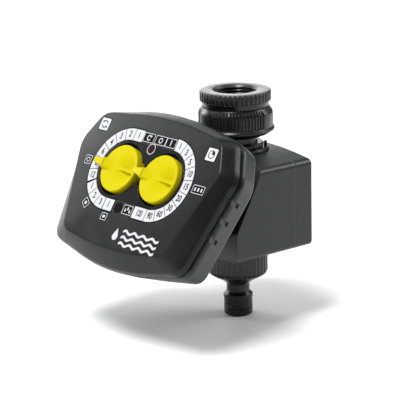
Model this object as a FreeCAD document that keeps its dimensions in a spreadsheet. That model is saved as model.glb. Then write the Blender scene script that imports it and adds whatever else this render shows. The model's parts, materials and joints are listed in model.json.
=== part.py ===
import FreeCAD, Part
import math
import os
import re
import Sketcher

# Two-dial tap timer for drip irrigation, in millimetres.
# It hangs from a tap by its inlet: +Z is up along the water axis and the origin is at the top of the
# inlet thread. -Y is the front, where the tilted control head sits on the inclined dock of the valve housing.

doc = FreeCAD.newDocument("irrigation_timer")
sheet = doc.addObject("Spreadsheet::Sheet", "dims")

SIZES = {
    # thread reducer, inlet union nut and spout, turned about the water axis
    "thread_radius": 12.06, "thread_depth": 12.0, "lead_in": 0.8, "ring_radius": 20.65, "ring_low": -5.4,
    "reducer_flange": 19.3, "reducer_stem": 15.1, "reducer_low": -17.0, "ledge_radius": 8.6,
    "nut_radius": 21.8, "nut_lip": 22.56, "nut_top": -8.6, "nut_low": -26.0, "nut_bore": 15.4,
    "nut_hole": 13.1, "washer_thick": 2.0, "spout_flange": 14.9, "spout_top": -20.0, "spout_radius": 12.6,
    "spout_bore": 8.2, "spout_low": -41.5, "collar_radius": 15.8, "collar_top": -29.8, "collar_low": -31.9,
    "strainer_radius": 7.6, "strainer_low": -34.0, "strainer_wall": 0.6,
    "retainer_radius": 19.0, "retainer_bore": 14.0, "retainer_top": -32.4, "retainer_low": -36.0,
    # valve housing
    "housing_half": 40.4, "housing_front": -35.4, "housing_rear": 23.0, "housing_split": 9.6,
    "housing_edge": -37.6, "housing_peak": 6.2, "housing_round": 3.0, "housing_low": -88.5,
    "dock_foot": -71.4, "dock_tilt": 30.2, "dock_recess": 2.0, "wall": 2.4, "seam_gap": 0.3,
    "seam_inset": 1.2,
    "post_half": 34.6, "post_high": -45.0, "post_low": -80.6, "post_radius": 3.6, "post_long": 20.0,
    "screw_radius": 1.45, "cover_head": 2.8, "cover_head_deep": 4.0,
    # valve, turned about the water axis and about a cross axis at the height valve_axis
    "valve_radius": 12.0, "valve_bore": 8.0, "valve_axis": -64.0, "boss_radius": 18.0, "boss_face": 20.0,
    "seat_radius": 6.5, "port_radius": 5.0, "bolt_reach": 11.5, "bonnet_end": 29.0, "bonnet_wall": 2.4,
    "diaphragm_thick": 1.2, "bead_thick": 2.0, "pilot_face": -14.0, "pilot_radius": 8.0,
    "core_radius": 4.2, "core_wall": 0.6, "core_end": -35.0, "running_gap": 0.08, "coil_radius": 9.5,
    "coil_near": -15.5, "coil_far": -33.0, "plunger_near": -14.4, "plunger_long": 11.0,
    "latch_spring_near": -27.6,
    "latch_spring_long": 4.6, "magnet_long": 1.6,
    # outlet
    "stub_radius": 13.1, "stub_low": -99.5, "outlet_nut_radius": 17.67, "outlet_nut_top": -89.2,
    "outlet_nut_low": -111.6, "outlet_nut_hole": 10.9, "spigot_shoulder": 10.6, "spigot_neck": 6.8,
    "spigot_ridge": 8.65, "spigot_radius": 8.4, "spigot_low": -134.0, "spigot_bore": 5.2,
    "ring_seat": -128.8, "ring_wire": 0.92, "ring_groove": 1.75,
    # control head, measured from the middle of its dial panel, with u up the panel
    "head_front": -71.46, "head_height": -37.26, "head_tilt": 33.3, "rim_depth": 6.2, "seam_depth": 10.8,
    "back_depth": 28.84, "shell_wall": 2.2, "panel_wall": 2.4, "corner_setback": 5.5, "bow_setback": 30.0,
    "head_screw_seat": -19.0, "head_screw_head": 2.7, "grip_half": 1.3, "grip_deep": 1.2, "grip_low": 20.0,
    "dial_spread": 17.5, "well_radius": 17.6, "well_recess": 16.2, "well_depth": 5.5, "well_floor": 2.0,
    "knob_radius": 14.2, "knob_top": 1.7, "knob_low": -4.9, "grip_top": 2.1, "grip_tail": 9.8,
    "grip_end": 0.8,
    "pointer_top": 4.4, "pointer_root": 13.6, "pointer_start": 7.0, "pointer_turn": 3.0,
    "pointer_reach": 20.6, "pointer_half": 2.6, "pointer_tip": 1.6, "pointer_thick": 1.6,
    "scoop_radius": 9.0, "scoop_across": 9.4,
    "scoop_height": 5.6, "shaft_radius": 3.0, "shaft_socket": 3.3, "rotor_radius": 5.0, "rotor_thick": 2.4,
    "switch_half": 7.0, "switch_high": 4.9, "board_top": -13.5, "board_thick": 1.6, "lens_radius": 1.5,
    "lens_height": 15.2, "lens_proud": 0.3,
    # battery bay on the back of the head, measured from the foot of the dock
    "bay_half": 31.0, "bay_low": -3.0, "bay_high": 30.0, "bay_inner": -1.6, "bay_outer": 19.5,
    "contact_across": 28.5, "contact_along": 22.0, "contact_radius": 1.0, "pad_thick": 0.9,
    "drawer_half": 25.6, "drawer_floor": 0.2, "drawer_high": 27.8, "drawer_roof": 19.0, "drawer_wall": 1.0,
    "battery_long": 46.2, "battery_wide": 26.5, "battery_thick": 17.5, "battery_end": 24.3,
    "battery_seat": 1.5,
    "stud_radius": 2.8, "stud_spread": 6.35,
}

# Each outline of the head: half-width and height at the upper corners, the crown of the upper edge,
# half-width and height at the widest point, half-width and height at the lower corners, and the lowest point.
OUTLINE_PARTS = ("top_x", "top_u", "crown", "side_x", "side_u", "foot_x", "foot_u", "foot")
OUTLINES = {
    "panel": (51.5, 30.2, 36.2, 61.0, 11.2, 43.8, -41.6, -47.4),
    "rim": (54.8, 32.6, 42.2, 66.4, 11.6, 55.6, -46.2, -57.8),
    "seam": (55.8, 33.8, 42.9, 67.4, 11.8, 57.0, -47.1, -58.6),
    "back": (54.0, 32.4, 39.5, 62.2, 12.0, 51.4, -44.2, -51.8),
}
for layer, numbers in OUTLINES.items():
    for part_name, number in zip(OUTLINE_PARTS, numbers):
        SIZES[layer + "_" + part_name] = number

for row, (alias, number) in enumerate(SIZES.items(), 1):
    sheet.set("A%d" % row, alias)
    sheet.set("B%d" % row, str(number))
    sheet.setAlias("B%d" % row, alias)
doc.recompute()

WORD = re.compile(r"\b[a-z_]+\b(?!\()")
FACE = "face"
DOCK = "dock"
nodes = []


def bound(text):
    """The expression with every alias pointing at the sheet."""
    return WORD.sub(lambda found: "dims." + found.group(0), text)


def size(text):
    """The value in millimetres of an expression in the sheet's aliases."""
    return float(sheet.evalExpression(bound(text)))


def seat(thing, frame):
    """Put a part modelled on the dial panel or on the dock in its tilted place."""
    if frame is None:
        return
    if frame == FACE:
        places = ("head_front", "head_height", "90 - head_tilt")
    else:
        places = ("housing_front", "dock_foot", "90 - dock_tilt")
    turn = FreeCAD.Rotation(FreeCAD.Vector(1, 0, 0), size(places[2]))
    thing.Placement = FreeCAD.Placement(FreeCAD.Vector(0, size(places[0]), size(places[1])), turn)
    thing.setExpression("Placement.Base.y", bound(places[0]))
    thing.setExpression("Placement.Base.z", bound(places[1]))
    thing.setExpression("Placement.Rotation.Angle", bound(places[2]))


def start_body(name, frame=None):
    body = doc.addObject("PartDesign::Body", name)
    body.Label = name
    seat(body, frame)
    nodes.append(body)
    return body


def start_sketch(body, plane, height="0", lean=None):
    """A sketch on one of the body's own planes, raised along its normal and leaned about its X axis."""
    support = [part for part in body.Origin.OriginFeatures if part.Role == plane][0]
    sketch = body.newObject("Sketcher::SketchObject", body.Name + "_sketch")
    sketch.AttachmentSupport = [(support, "")]
    sketch.MapMode = "FlatFace"
    if lean is not None:
        turn = FreeCAD.Rotation(FreeCAD.Vector(1, 0, 0), size(lean))
        sketch.AttachmentOffset = FreeCAD.Placement(FreeCAD.Vector(0, 0, size(height)), turn)
        sketch.setExpression("AttachmentOffset.Rotation.Angle", bound(lean))
    sketch.setExpression("AttachmentOffset.Base.z", bound(height))
    return sketch


def pin(sketch, geometry, point, x, y):
    """Hold a point of the sketch at two expressions."""
    for kind, text in (("DistanceX", x), ("DistanceY", y)):
        index = sketch.addConstraint(Sketcher.Constraint(kind, -1, 1, geometry, point, size(text)))
        sketch.setExpression("Constraints[%d]" % index, bound(text))


def polygon(sketch, corners):
    spots = [FreeCAD.Vector(size(x), size(y), 0) for x, y in corners]
    first = sketch.GeometryCount
    count = len(spots)
    for index in range(count):
        sketch.addGeometry(Part.LineSegment(spots[index], spots[(index + 1) % count]), False)
    for index in range(count):
        after = first + (index + 1) % count
        sketch.addConstraint(Sketcher.Constraint("Coincident", first + index, 2, after, 1))
    for index, (x, y) in enumerate(corners):
        pin(sketch, first + index, 1, x, y)


def circle(sketch, x, y, radius):
    centre = FreeCAD.Vector(size(x), size(y), 0)
    geometry = sketch.addGeometry(Part.Circle(centre, FreeCAD.Vector(0, 0, 1), size(radius)), False)
    pin(sketch, geometry, 3, x, y)
    index = sketch.addConstraint(Sketcher.Constraint("Radius", geometry, size(radius)))
    sketch.setExpression("Constraints[%d]" % index, bound(radius))


def toward(here, there, setback):
    """The point a setback away from one corner on the line to the next, as two expressions."""
    run = "sqrt(((%s) - (%s))^2 + ((%s) - (%s))^2)" % (there[0], here[0], there[1], here[1])
    return ["(%s) + ((%s) - (%s)) * (%s) / %s" % (here[axis], there[axis], here[axis], setback, run)
            for axis in (0, 1)]


def rounded_outline(sketch, corners):
    """A closed outline of straight edges and tangent arcs.

    Each corner is (x, y, setback), and its arc begins and ends that setback away from it."""
    count = len(corners)
    first = sketch.GeometryCount
    for index, (x, y, setback) in enumerate(corners):
        before = corners[index - 1]
        after = corners[(index + 1) % count]
        leaving = toward((x, y), after, setback)
        entering = toward((x, y), before, setback)
        spots = [FreeCAD.Vector(size(point[0]), size(point[1]), 0) for point in (entering, leaving)]
        corner = FreeCAD.Vector(size(x), size(y), 0)
        arc = arc_between(spots[0], corner, spots[1])
        geometry = sketch.addGeometry(arc, False)
        ends = sorted((1, 2), key=lambda end: (sketch.getPoint(geometry, end) - spots[0]).Length)
        pin(sketch, geometry, ends[0], *entering)
        pin(sketch, geometry, ends[1], *leaving)
        index = sketch.addConstraint(Sketcher.Constraint("Radius", geometry, arc.Radius))
        sketch.setExpression("Constraints[%d]" % index, bound(corner_radius((x, y), before, after, setback)))
    for index in range(count):
        here = corners[index]
        there = corners[(index + 1) % count]
        start = toward(here, there, here[2])
        end = toward(there, here, there[2])
        spots = [FreeCAD.Vector(size(point[0]), size(point[1]), 0) for point in (start, end)]
        geometry = sketch.addGeometry(Part.LineSegment(*spots), False)
        pin(sketch, geometry, 1, *start)
        pin(sketch, geometry, 2, *end)


def corner_radius(here, before, after, setback):
    """The radius of the arc that rounds a corner, from its setback and the angle between its edges."""
    sides = [["(%s) - (%s)" % (other[axis], here[axis]) for axis in (0, 1)] for other in (before, after)]
    dot = "((%s) * (%s) + (%s) * (%s))" % (sides[0][0], sides[1][0], sides[0][1], sides[1][1])
    lengths = "(sqrt((%s)^2 + (%s)^2) * sqrt((%s)^2 + (%s)^2))" % (*sides[0], *sides[1])
    return "(%s) * tan(acos(%s / %s) / 2)" % (setback, dot, lengths)


def arc_between(start, corner, end):
    """The arc that touches both edges of a corner at two points equally far from it."""
    middle = (start + end) / 2
    reach = (corner - start).Length
    half_chord = (end - start).Length / 2
    rise = (corner - middle).Length
    radius = reach * half_chord / rise
    depth = radius - math.sqrt(radius ** 2 - half_chord ** 2)
    top = middle + (corner - middle).normalize() * depth
    return Part.ArcOfCircle(start, top, end)


def feature(body, kind, sketch):
    made = body.newObject("PartDesign::" + kind, body.Name + "_" + kind.lower())
    made.Profile = sketch
    body.Tip = made
    return made


def pad(body, sketch, length, backwards=False):
    made = feature(body, "Pad", sketch)
    made.Reversed = backwards
    made.setExpression("Length", bound(length))
    doc.recompute()


def pocket(body, sketch, length, forwards=False):
    """Cut against the sketch's normal, or along it when forwards is set."""
    before = body.Shape.Volume
    made = feature(body, "Pocket", sketch)
    made.Reversed = forwards
    made.setExpression("Length", bound(length))
    doc.recompute()
    if not body.Shape.Volume < before - 1e-6:
        raise RuntimeError(body.Name + ": a pocket removed nothing")


def lathe(name, profile, frame=None):
    """A body turned about its Z axis from a closed profile of (radius, height) corners."""
    body = start_body(name, frame)
    sketch = start_sketch(body, "XZ_Plane")
    polygon(sketch, profile)
    made = feature(body, "Revolution", sketch)
    made.ReferenceAxis = (sketch, ["V_Axis"])
    made.Angle = 360
    doc.recompute()
    return body


def flutes(body, radius, low, high, count, flute_radius, depth):
    """Cut evenly spaced upright flutes round a turned body."""
    sketch = start_sketch(body, "XY_Plane", high)
    circle(sketch, "%s + %s - %s" % (radius, flute_radius, depth), "0", flute_radius)
    pocket(body, sketch, "(%s) - (%s)" % (high, low))
    pattern = body.newObject("PartDesign::PolarPattern", body.Name + "_flutes")
    pattern.Originals = [body.Tip]
    pattern.Axis = ([part for part in body.Origin.OriginFeatures if part.Role == "Z_Axis"][0], [""])
    pattern.Angle = 360
    pattern.Occurrences = count
    body.Tip = pattern
    doc.recompute()


def round_edges(body, radius, wanted):
    """Fillet the edges of the body for which wanted(edge) is true."""
    names = ["Edge%d" % (index + 1) for index, edge in enumerate(body.Shape.Edges) if wanted(edge)]
    base = body.Tip
    made = body.newObject("PartDesign::Fillet", body.Name + "_fillet")
    made.Base = (base, names)
    made.setExpression("Radius", bound(radius))
    body.Tip = made
    doc.recompute()
    if "Invalid" in made.State or not body.Shape.isValid():
        raise RuntimeError(body.Name + ": a fillet failed")


def loose(name, shape, frame=None):
    """A part whose shape is made in code from the sheet's sizes."""
    made = doc.addObject("Part::Feature", name)
    made.Label = name
    made.Shape = shape
    seat(made, frame)
    nodes.append(made)
    return made


def box_shape(left, right, low, high, near, far):
    """A plain box between six values."""
    return Part.makeBox(right - left, high - low, far - near, FreeCAD.Vector(left, low, near))


def helix_spring(radius, wire, length, coils):
    """A round-wire spring from the origin along +Z, with its turns worked out from its length."""
    helix = Part.makeHelix((length - 2 * wire) / coils, length - 2 * wire, radius)
    circle_of_wire = Part.Circle(FreeCAD.Vector(radius, 0, 0), FreeCAD.Vector(0, 1, 0), wire)
    quarters = [Part.ArcOfCircle(circle_of_wire, quarter * math.pi / 2, (quarter + 1) * math.pi / 2).toShape()
                for quarter in range(4)]
    spring = Part.Wire(helix.Edges).makePipeShell([Part.Wire(quarters)], True, True)
    spring.translate(FreeCAD.Vector(0, 0, wire))
    return spring


def screw_shape(head_radius, head_height, shank_radius, length):
    """A pan-head screw along -Z with its head on top of the origin and a cross recess."""
    head = Part.makeCylinder(head_radius, head_height)
    shank = Part.makeCylinder(shank_radius, length, FreeCAD.Vector(0, 0, -length))
    slot_half = head_radius * 0.6
    slot_wide = head_radius * 0.2
    floor = head_height * 0.5
    first = box_shape(-slot_half, slot_half, -slot_wide, slot_wide, floor, head_height)
    second = box_shape(-slot_wide, slot_wide, -slot_half, slot_half, floor, head_height)
    return head.fuse(shank).cut(first).cut(second)


def placed(shape, spot, turn=None):
    """A copy of a shape, turned and then moved to a spot."""
    copy = shape.copy()
    copy.Placement = FreeCAD.Placement(spot, turn or FreeCAD.Rotation()).multiply(shape.Placement)
    return copy


# ---------------------------------------------------------------- inlet

def thread_reducer():
    """Reducing ring: inside thread for the tap, outside thread for the union nut."""
    body = lathe("thread_reducer", (
        ("thread_radius + lead_in", "lead_in"), ("ring_radius - 0.6", "lead_in"),
        ("ring_radius", "lead_in - 0.6"), ("ring_radius", "ring_low"), ("reducer_flange", "ring_low"),
        ("reducer_flange", "nut_top + 0.3"), ("reducer_stem", "nut_top + 0.3"),
        ("reducer_stem", "reducer_low"),
        ("ledge_radius", "reducer_low"), ("ledge_radius", "-thread_depth"),
        ("thread_radius + 0.5", "-thread_depth"), ("thread_radius + 0.5", "washer_thick - thread_depth"),
        ("thread_radius", "washer_thick - thread_depth"), ("thread_radius", "0")))
    flutes(body, "ring_radius", "ring_low", "lead_in", 44, "1.0", "0.55")


def inlet_union_nut():
    body = lathe("inlet_union_nut", (
        ("nut_bore", "nut_top"), ("nut_radius - 1.9", "nut_top"), ("nut_radius", "nut_top - 3.3"),
        ("nut_radius", "nut_low + 5.8"), ("nut_lip", "nut_low + 4.8"), ("nut_lip", "nut_low + 3.7"),
        ("nut_radius - 1.6", "nut_low + 2"), ("nut_hole + 2.2", "nut_low"), ("nut_hole", "nut_low"),
        ("nut_hole", "nut_low + 3.2"), ("nut_bore", "nut_low + 3.2")))
    flutes(body, "nut_radius", "nut_low + 5.8", "nut_top", 48, "0.9", "0.5")


def flat_washer(name, inner, outer, low, thick):
    high = "%s + %s" % (low, thick)
    lathe(name, ((inner, low), (outer, low), (outer, high), (inner, high)))


def inlet_seals():
    """Flat washers of the tap joint and the union, and the cup strainer held between them."""
    flat_washer("reducer_washer", "ledge_radius + 0.2", "thread_radius + 0.34", "-thread_depth", "washer_thick")
    flat_washer("inlet_washer", "spout_bore + 0.4", "spout_flange", "spout_top", "washer_thick + 0.1")
    rim = "spout_top + washer_thick + 0.1"
    lathe("inlet_strainer", (
        ("strainer_radius - strainer_wall", rim + " + strainer_wall"),
        ("spout_flange - 0.3", rim + " + strainer_wall"),
        ("spout_flange - 0.3", rim), ("strainer_radius", rim), ("strainer_radius - 1.6", "strainer_low"),
        ("0", "strainer_low"), ("0", "strainer_low + strainer_wall"),
        ("strainer_radius - 1.6 - strainer_wall", "strainer_low + strainer_wall")))


def inlet_spout():
    """Spout that the union nut draws up, with its collar above the housing and its foot under the roof."""
    roof = "housing_edge - wall - 0.2"
    lathe("inlet_spout", (
        ("spout_bore", "spout_top"), ("spout_flange", "spout_top"), ("spout_flange", "spout_top - 2.5"),
        ("spout_radius", "spout_top - 2.5"), ("spout_radius", "collar_top"),
        ("collar_radius - 0.5", "collar_top"),
        ("collar_radius", "collar_top - 0.5"), ("collar_radius", "collar_low"),
        ("retainer_bore - 0.3", "collar_low"),
        ("retainer_bore - 0.3", roof), ("retainer_bore + 0.4", roof), ("retainer_bore + 0.4", "spout_low"),
        ("spout_bore", "spout_low")))


def retaining_ring():
    """Split ring that locks the spout to the housing, with a lifting ear beside its gap."""
    body = lathe("retaining_ring", (
        ("retainer_bore", "retainer_low"), ("retainer_radius", "retainer_low"),
        ("retainer_radius", "retainer_top - 0.9"), ("retainer_radius - 0.9", "retainer_top"),
        ("retainer_bore", "retainer_top")))
    gap = start_sketch(body, "XY_Plane", "retainer_top + 1")
    polygon(gap, (("4", "retainer_bore - 1"), ("6.4", "retainer_bore - 1"),
                  ("6.4", "retainer_radius + 1"), ("4", "retainer_radius + 1")))
    pocket(body, gap, "retainer_top - retainer_low + 2")
    ear = start_sketch(body, "XY_Plane", "retainer_top")
    polygon(ear, (("9.4", "13.2"), ("11.6", "11.3"), ("12.8", "12.7"), ("10.6", "14.6")))
    pad(body, ear, "2.6")


# ---------------------------------------------------------------- valve housing

def housing_outline(sketch, inset):
    """Front view of the housing, moved in by a distance on every side."""
    half = "housing_half - (%s)" % inset
    edge = "housing_edge - (%s)" % inset
    low = "housing_low + (%s)" % inset
    rounded_outline(sketch, [
        ("0", "housing_edge + housing_peak - (%s)" % inset, "bow_setback"), (half, edge, "housing_round"),
        (half, low, "housing_round"), ("-(%s)" % half, low, "housing_round"),
        ("-(%s)" % half, edge, "housing_round")])


def dock_point(along, out):
    """Y and Z of a point given up the dock and out from it."""
    y = "housing_front + (%s) * sin(dock_tilt) - (%s) * cos(dock_tilt)" % (along, out)
    z = "dock_foot + (%s) * cos(dock_tilt) + (%s) * sin(dock_tilt)" % (along, out)
    return y, z


def post_circles(sketch, radius):
    """The four screw places of the housing, as circles."""
    for across in ("post_half", "-post_half"):
        for height in ("post_high", "post_low"):
            circle(sketch, across, height, radius)


def water_openings(body):
    """Cut the seat of the retaining ring, the hole for the spout and the hole for the outlet stub."""
    crown = "housing_edge + housing_peak"
    holes = ((crown, "retainer_radius + 0.3", crown + " - retainer_low"),
             ("retainer_low + 1", "retainer_bore", "retainer_low - housing_edge + wall + 3"),
             ("housing_low + wall + 1", "stub_radius + 0.3", "wall + 2"))
    for top, radius, depth in holes:
        sketch = start_sketch(body, "XY_Plane", top)
        circle(sketch, "0", "0", radius)
        pocket(body, sketch, depth)


def front_housing():
    """Front shell of the valve housing, with the inclined dock for the control head."""
    body = start_body("front_housing")
    outside = start_sketch(body, "XZ_Plane", "-housing_split")
    housing_outline(outside, "0")
    pad(body, outside, "housing_split - housing_front")
    slope = start_sketch(body, "YZ_Plane", "housing_half + 1")
    polygon(slope, (dock_point("0", "0"), dock_point("48", "0"), dock_point("48", "40"), dock_point("-12", "40"),
                    ("housing_front", "dock_foot - 1")))
    pocket(body, slope, "2 * housing_half + 2")
    inside = start_sketch(body, "YZ_Plane", "housing_half - wall")
    polygon(inside, (
        ("housing_split + 1", "housing_low + wall"), ("housing_front + wall", "housing_low + wall"),
        ("housing_front + wall", "dock_foot - 3"), dock_point("3", "-wall - dock_recess"),
        dock_point("bay_high + 1", "-wall - dock_recess"), dock_point("bay_high + 1", "-wall"),
        ("housing_front + (housing_edge - wall - dock_foot) * tan(dock_tilt) + wall / cos(dock_tilt)",
         "housing_edge - wall"),
        ("housing_split + 1", "housing_edge - wall")))
    pocket(body, inside, "2 * (housing_half - wall)")
    recess = start_sketch(body, "YZ_Plane", "bay_half + 0.5")
    polygon(recess, (dock_point("-8", "3"), dock_point("-8", "-dock_recess"),
                     dock_point("bay_high + 0.5", "-dock_recess"), dock_point("bay_high + 0.5", "3")))
    pocket(body, recess, "2 * bay_half + 1")
    posts = start_sketch(body, "XZ_Plane", "-housing_split")
    post_circles(posts, "post_radius")
    pad(body, posts, "post_long")
    holes = start_sketch(body, "XZ_Plane", "-housing_split - 1")
    post_circles(holes, "screw_radius + 0.05")
    pocket(body, holes, "post_long - 3", forwards=True)
    water_openings(body)
    for side in ("", "-"):
        slot = start_sketch(body, "YZ_Plane", side + "contact_across + contact_radius + 0.1")
        polygon(slot, [dock_point("contact_along " + along, "-dock_recess " + out)
                       for along, out in (("- 2", "+ 1"), ("- 2", "- pad_thick"),
                                          ("+ 2", "- pad_thick"), ("+ 2", "+ 1"))])
        pocket(body, slot, "2 * contact_radius + 0.2")


def rear_cover():
    """Rear shell of the valve housing, screwed on from behind, with a narrow land that leaves a seam line."""
    body = start_body("rear_cover")
    outside = start_sketch(body, "XZ_Plane", "-housing_rear")
    housing_outline(outside, "0")
    pad(body, outside, "housing_rear - housing_split - seam_gap")
    back = body.Shape.BoundBox.YMax
    round_edges(body, "2", lambda edge: min(vertex.Y for vertex in edge.Vertexes) > back - 0.01)
    land = start_sketch(body, "XZ_Plane", "-housing_split - seam_gap")
    housing_outline(land, "seam_inset")
    pad(body, land, "seam_gap")
    inside = start_sketch(body, "XZ_Plane", "-housing_split")
    half = "housing_half - wall"
    rounded_outline(inside, [(half, "housing_edge - wall", "1"), (half, "housing_low + wall", "1"),
                             ("-(%s)" % half, "housing_low + wall", "1"),
                             ("-(%s)" % half, "housing_edge - wall", "1")])
    pocket(body, inside, "housing_rear - housing_split - wall")
    posts = start_sketch(body, "XZ_Plane", "-housing_rear + wall / 2")
    post_circles(posts, "post_radius")
    pad(body, posts, "housing_rear - housing_split - wall / 2")
    for radius, depth in (("screw_radius + 0.15", "post_long"), ("cover_head + 0.3", "cover_head_deep")):
        holes = start_sketch(body, "XZ_Plane", "-housing_rear")
        post_circles(holes, radius)
        pocket(body, holes, depth, forwards=True)
    water_openings(body)


def cover_screws():
    turn = FreeCAD.Rotation(FreeCAD.Vector(1, 0, 0), -90)
    screw = screw_shape(size("cover_head"), 2.2, size("screw_radius"), 20.0)
    seat_y = size("housing_rear - cover_head_deep")
    spots = [FreeCAD.Vector(side * size("post_half"), seat_y, size(height))
             for side in (-1, 1) for height in ("post_high", "post_low")]
    loose("cover_screws", Part.makeCompound([placed(screw, spot, turn) for spot in spots]))


def dock_contacts():
    """Two contact pads let into the floor of the dock."""
    half = size("contact_radius") - 0.1
    along = size("contact_along")
    floor = -size("dock_recess")
    pads = []
    for side in (-1, 1):
        middle = side * size("contact_across")
        under = floor - size("pad_thick")
        pads.append(box_shape(middle - half, middle + half, along - 1.9, along + 1.9, under, floor))
    loose("dock_contacts", Part.makeCompound(pads), DOCK)


# ---------------------------------------------------------------- valve

def bolt_circles(sketch, height, radius):
    """The four screw places of the bonnet, as circles round a height."""
    for across in ("bolt_reach", "-bolt_reach"):
        for rise in ("bolt_reach", "-bolt_reach"):
            circle(sketch, across, "%s + (%s)" % (height, rise), radius)


def valve_body():
    """Water way with the diaphragm seat on one side, the pilot seat on the other and the outlet stub."""
    body = start_body("valve_body")
    tube = start_sketch(body, "XZ_Plane")
    polygon(tube, (
        ("0", "spout_low - 0.2"), ("valve_radius + 2", "spout_low - 0.2"),
        ("valve_radius + 2", "spout_low - 2.6"),
        ("valve_radius", "spout_low - 2.6"), ("valve_radius", "housing_low + wall + 2"),
        ("stub_radius + 2", "housing_low + wall + 2"), ("stub_radius + 2", "housing_low + wall"),
        ("stub_radius", "housing_low + wall"), ("stub_radius", "stub_low"), ("0", "stub_low")))
    turned = feature(body, "Revolution", tube)
    turned.ReferenceAxis = (tube, ["V_Axis"])
    turned.Angle = 360
    doc.recompute()
    boss = start_sketch(body, "YZ_Plane", "0")
    circle(boss, "0", "valve_axis", "boss_radius - 3")
    pad(body, boss, "boss_face")
    flange = start_sketch(body, "YZ_Plane", "boss_face - 4")
    circle(flange, "0", "valve_axis", "boss_radius")
    pad(body, flange, "4")
    pilot = start_sketch(body, "YZ_Plane", "pilot_face")
    circle(pilot, "0", "valve_axis", "pilot_radius")
    pad(body, pilot, "-pilot_face")
    for top, low in (("spout_low", "valve_axis + 9"), ("valve_axis + 6", "stub_low - 1")):
        bore = start_sketch(body, "XY_Plane", top)
        circle(bore, "0", "0", "valve_bore")
        pocket(body, bore, "(%s) - (%s)" % (top, low))
    chamber = start_sketch(body, "YZ_Plane", "boss_face")
    circle(chamber, "0", "valve_axis", "boss_radius - 5")
    circle(chamber, "0", "valve_axis", "seat_radius")
    pocket(body, chamber, "3.5")
    seat_top = start_sketch(body, "YZ_Plane", "boss_face")
    circle(seat_top, "0", "valve_axis", "seat_radius + 0.1")
    pocket(body, seat_top, "0.4")
    port = start_sketch(body, "YZ_Plane", "boss_face")
    circle(port, "0", "valve_axis", "port_radius")
    pocket(body, port, "boss_face - 4")
    inlet_port = start_sketch(body, "YZ_Plane", "boss_face")
    circle(inlet_port, "0", "valve_axis + 10.2", "1.8")
    pocket(body, inlet_port, "boss_face - 4")
    screw_holes = start_sketch(body, "YZ_Plane", "boss_face")
    bolt_circles(screw_holes, "valve_axis", "1.1")
    pocket(body, screw_holes, "3.6")
    pilot_hole = start_sketch(body, "YZ_Plane", "pilot_face")
    circle(pilot_hole, "0", "valve_axis", "0.8")
    pocket(body, pilot_hole, "8", forwards=True)


def crosswise(thing, near):
    """Turn a part modelled up +Z so that it points along +X from a distance along X."""
    turn = FreeCAD.Rotation(FreeCAD.Vector(0, 1, 0), 90)
    thing.Placement = FreeCAD.Placement(FreeCAD.Vector(size(near), 0, size("valve_axis")), turn)
    thing.setExpression("Placement.Base.x", bound(near))
    thing.setExpression("Placement.Base.z", bound("valve_axis"))


def diaphragm():
    """Rubber disc with a thick bead inside its clamped rim."""
    made = lathe("diaphragm", (
        ("0", "0"), ("seat_radius + 0.5", "0"), ("seat_radius + 0.5", "0.3"), ("boss_radius - 5.6", "0.3"),
        ("boss_radius - 5.6", "0"), ("boss_radius - 0.2", "0"), ("boss_radius - 0.2", "diaphragm_thick"),
        ("seat_radius + 1", "diaphragm_thick"), ("seat_radius", "bead_thick"), ("0", "bead_thick")))
    sketch = start_sketch(made, "XY_Plane", "diaphragm_thick")
    bolt_circles(sketch, "0", "1.5")
    pocket(made, sketch, "diaphragm_thick")
    crosswise(made, "boss_face")


def valve_bonnet():
    """Cap that clamps the diaphragm and holds its spring."""
    high = "bonnet_end - boss_face"
    flange = "diaphragm_thick + 3.2"
    made = lathe("valve_bonnet", (
        ("0", high), ("boss_radius - 7", high), ("boss_radius - 5", high + " - 2"),
        ("boss_radius - 5", flange),
        ("boss_radius", flange), ("boss_radius", "diaphragm_thick"), ("boss_radius - 5.5", "diaphragm_thick"),
        ("boss_radius - 5.5", "diaphragm_thick + 2"), ("seat_radius + 0.5", high + " - bonnet_wall"),
        ("0", high + " - bonnet_wall")))
    sketch = start_sketch(made, "XY_Plane", flange)
    bolt_circles(sketch, "0", "1.3")
    pocket(made, sketch, "3.4")
    crosswise(made, "boss_face")


def diaphragm_spring_and_screws():
    outwards = FreeCAD.Rotation(FreeCAD.Vector(0, 1, 0), 90)
    axis = size("valve_axis")
    bead = size("boss_face + bead_thick")
    spring = helix_spring(4.6, 0.4, size("bonnet_end - bonnet_wall") - bead, 3)
    loose("diaphragm_spring", placed(spring, FreeCAD.Vector(bead, 0, axis), outwards))
    screw = screw_shape(2.2, 1.6, 1.05, 7.6)
    flange = size("boss_face + diaphragm_thick + 3.2")
    reach = size("bolt_reach")
    spots = [FreeCAD.Vector(flange, y, axis + z) for y in (-reach, reach) for z in (-reach, reach)]
    loose("bonnet_screws", Part.makeCompound([placed(screw, spot, outwards) for spot in spots]))


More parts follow.
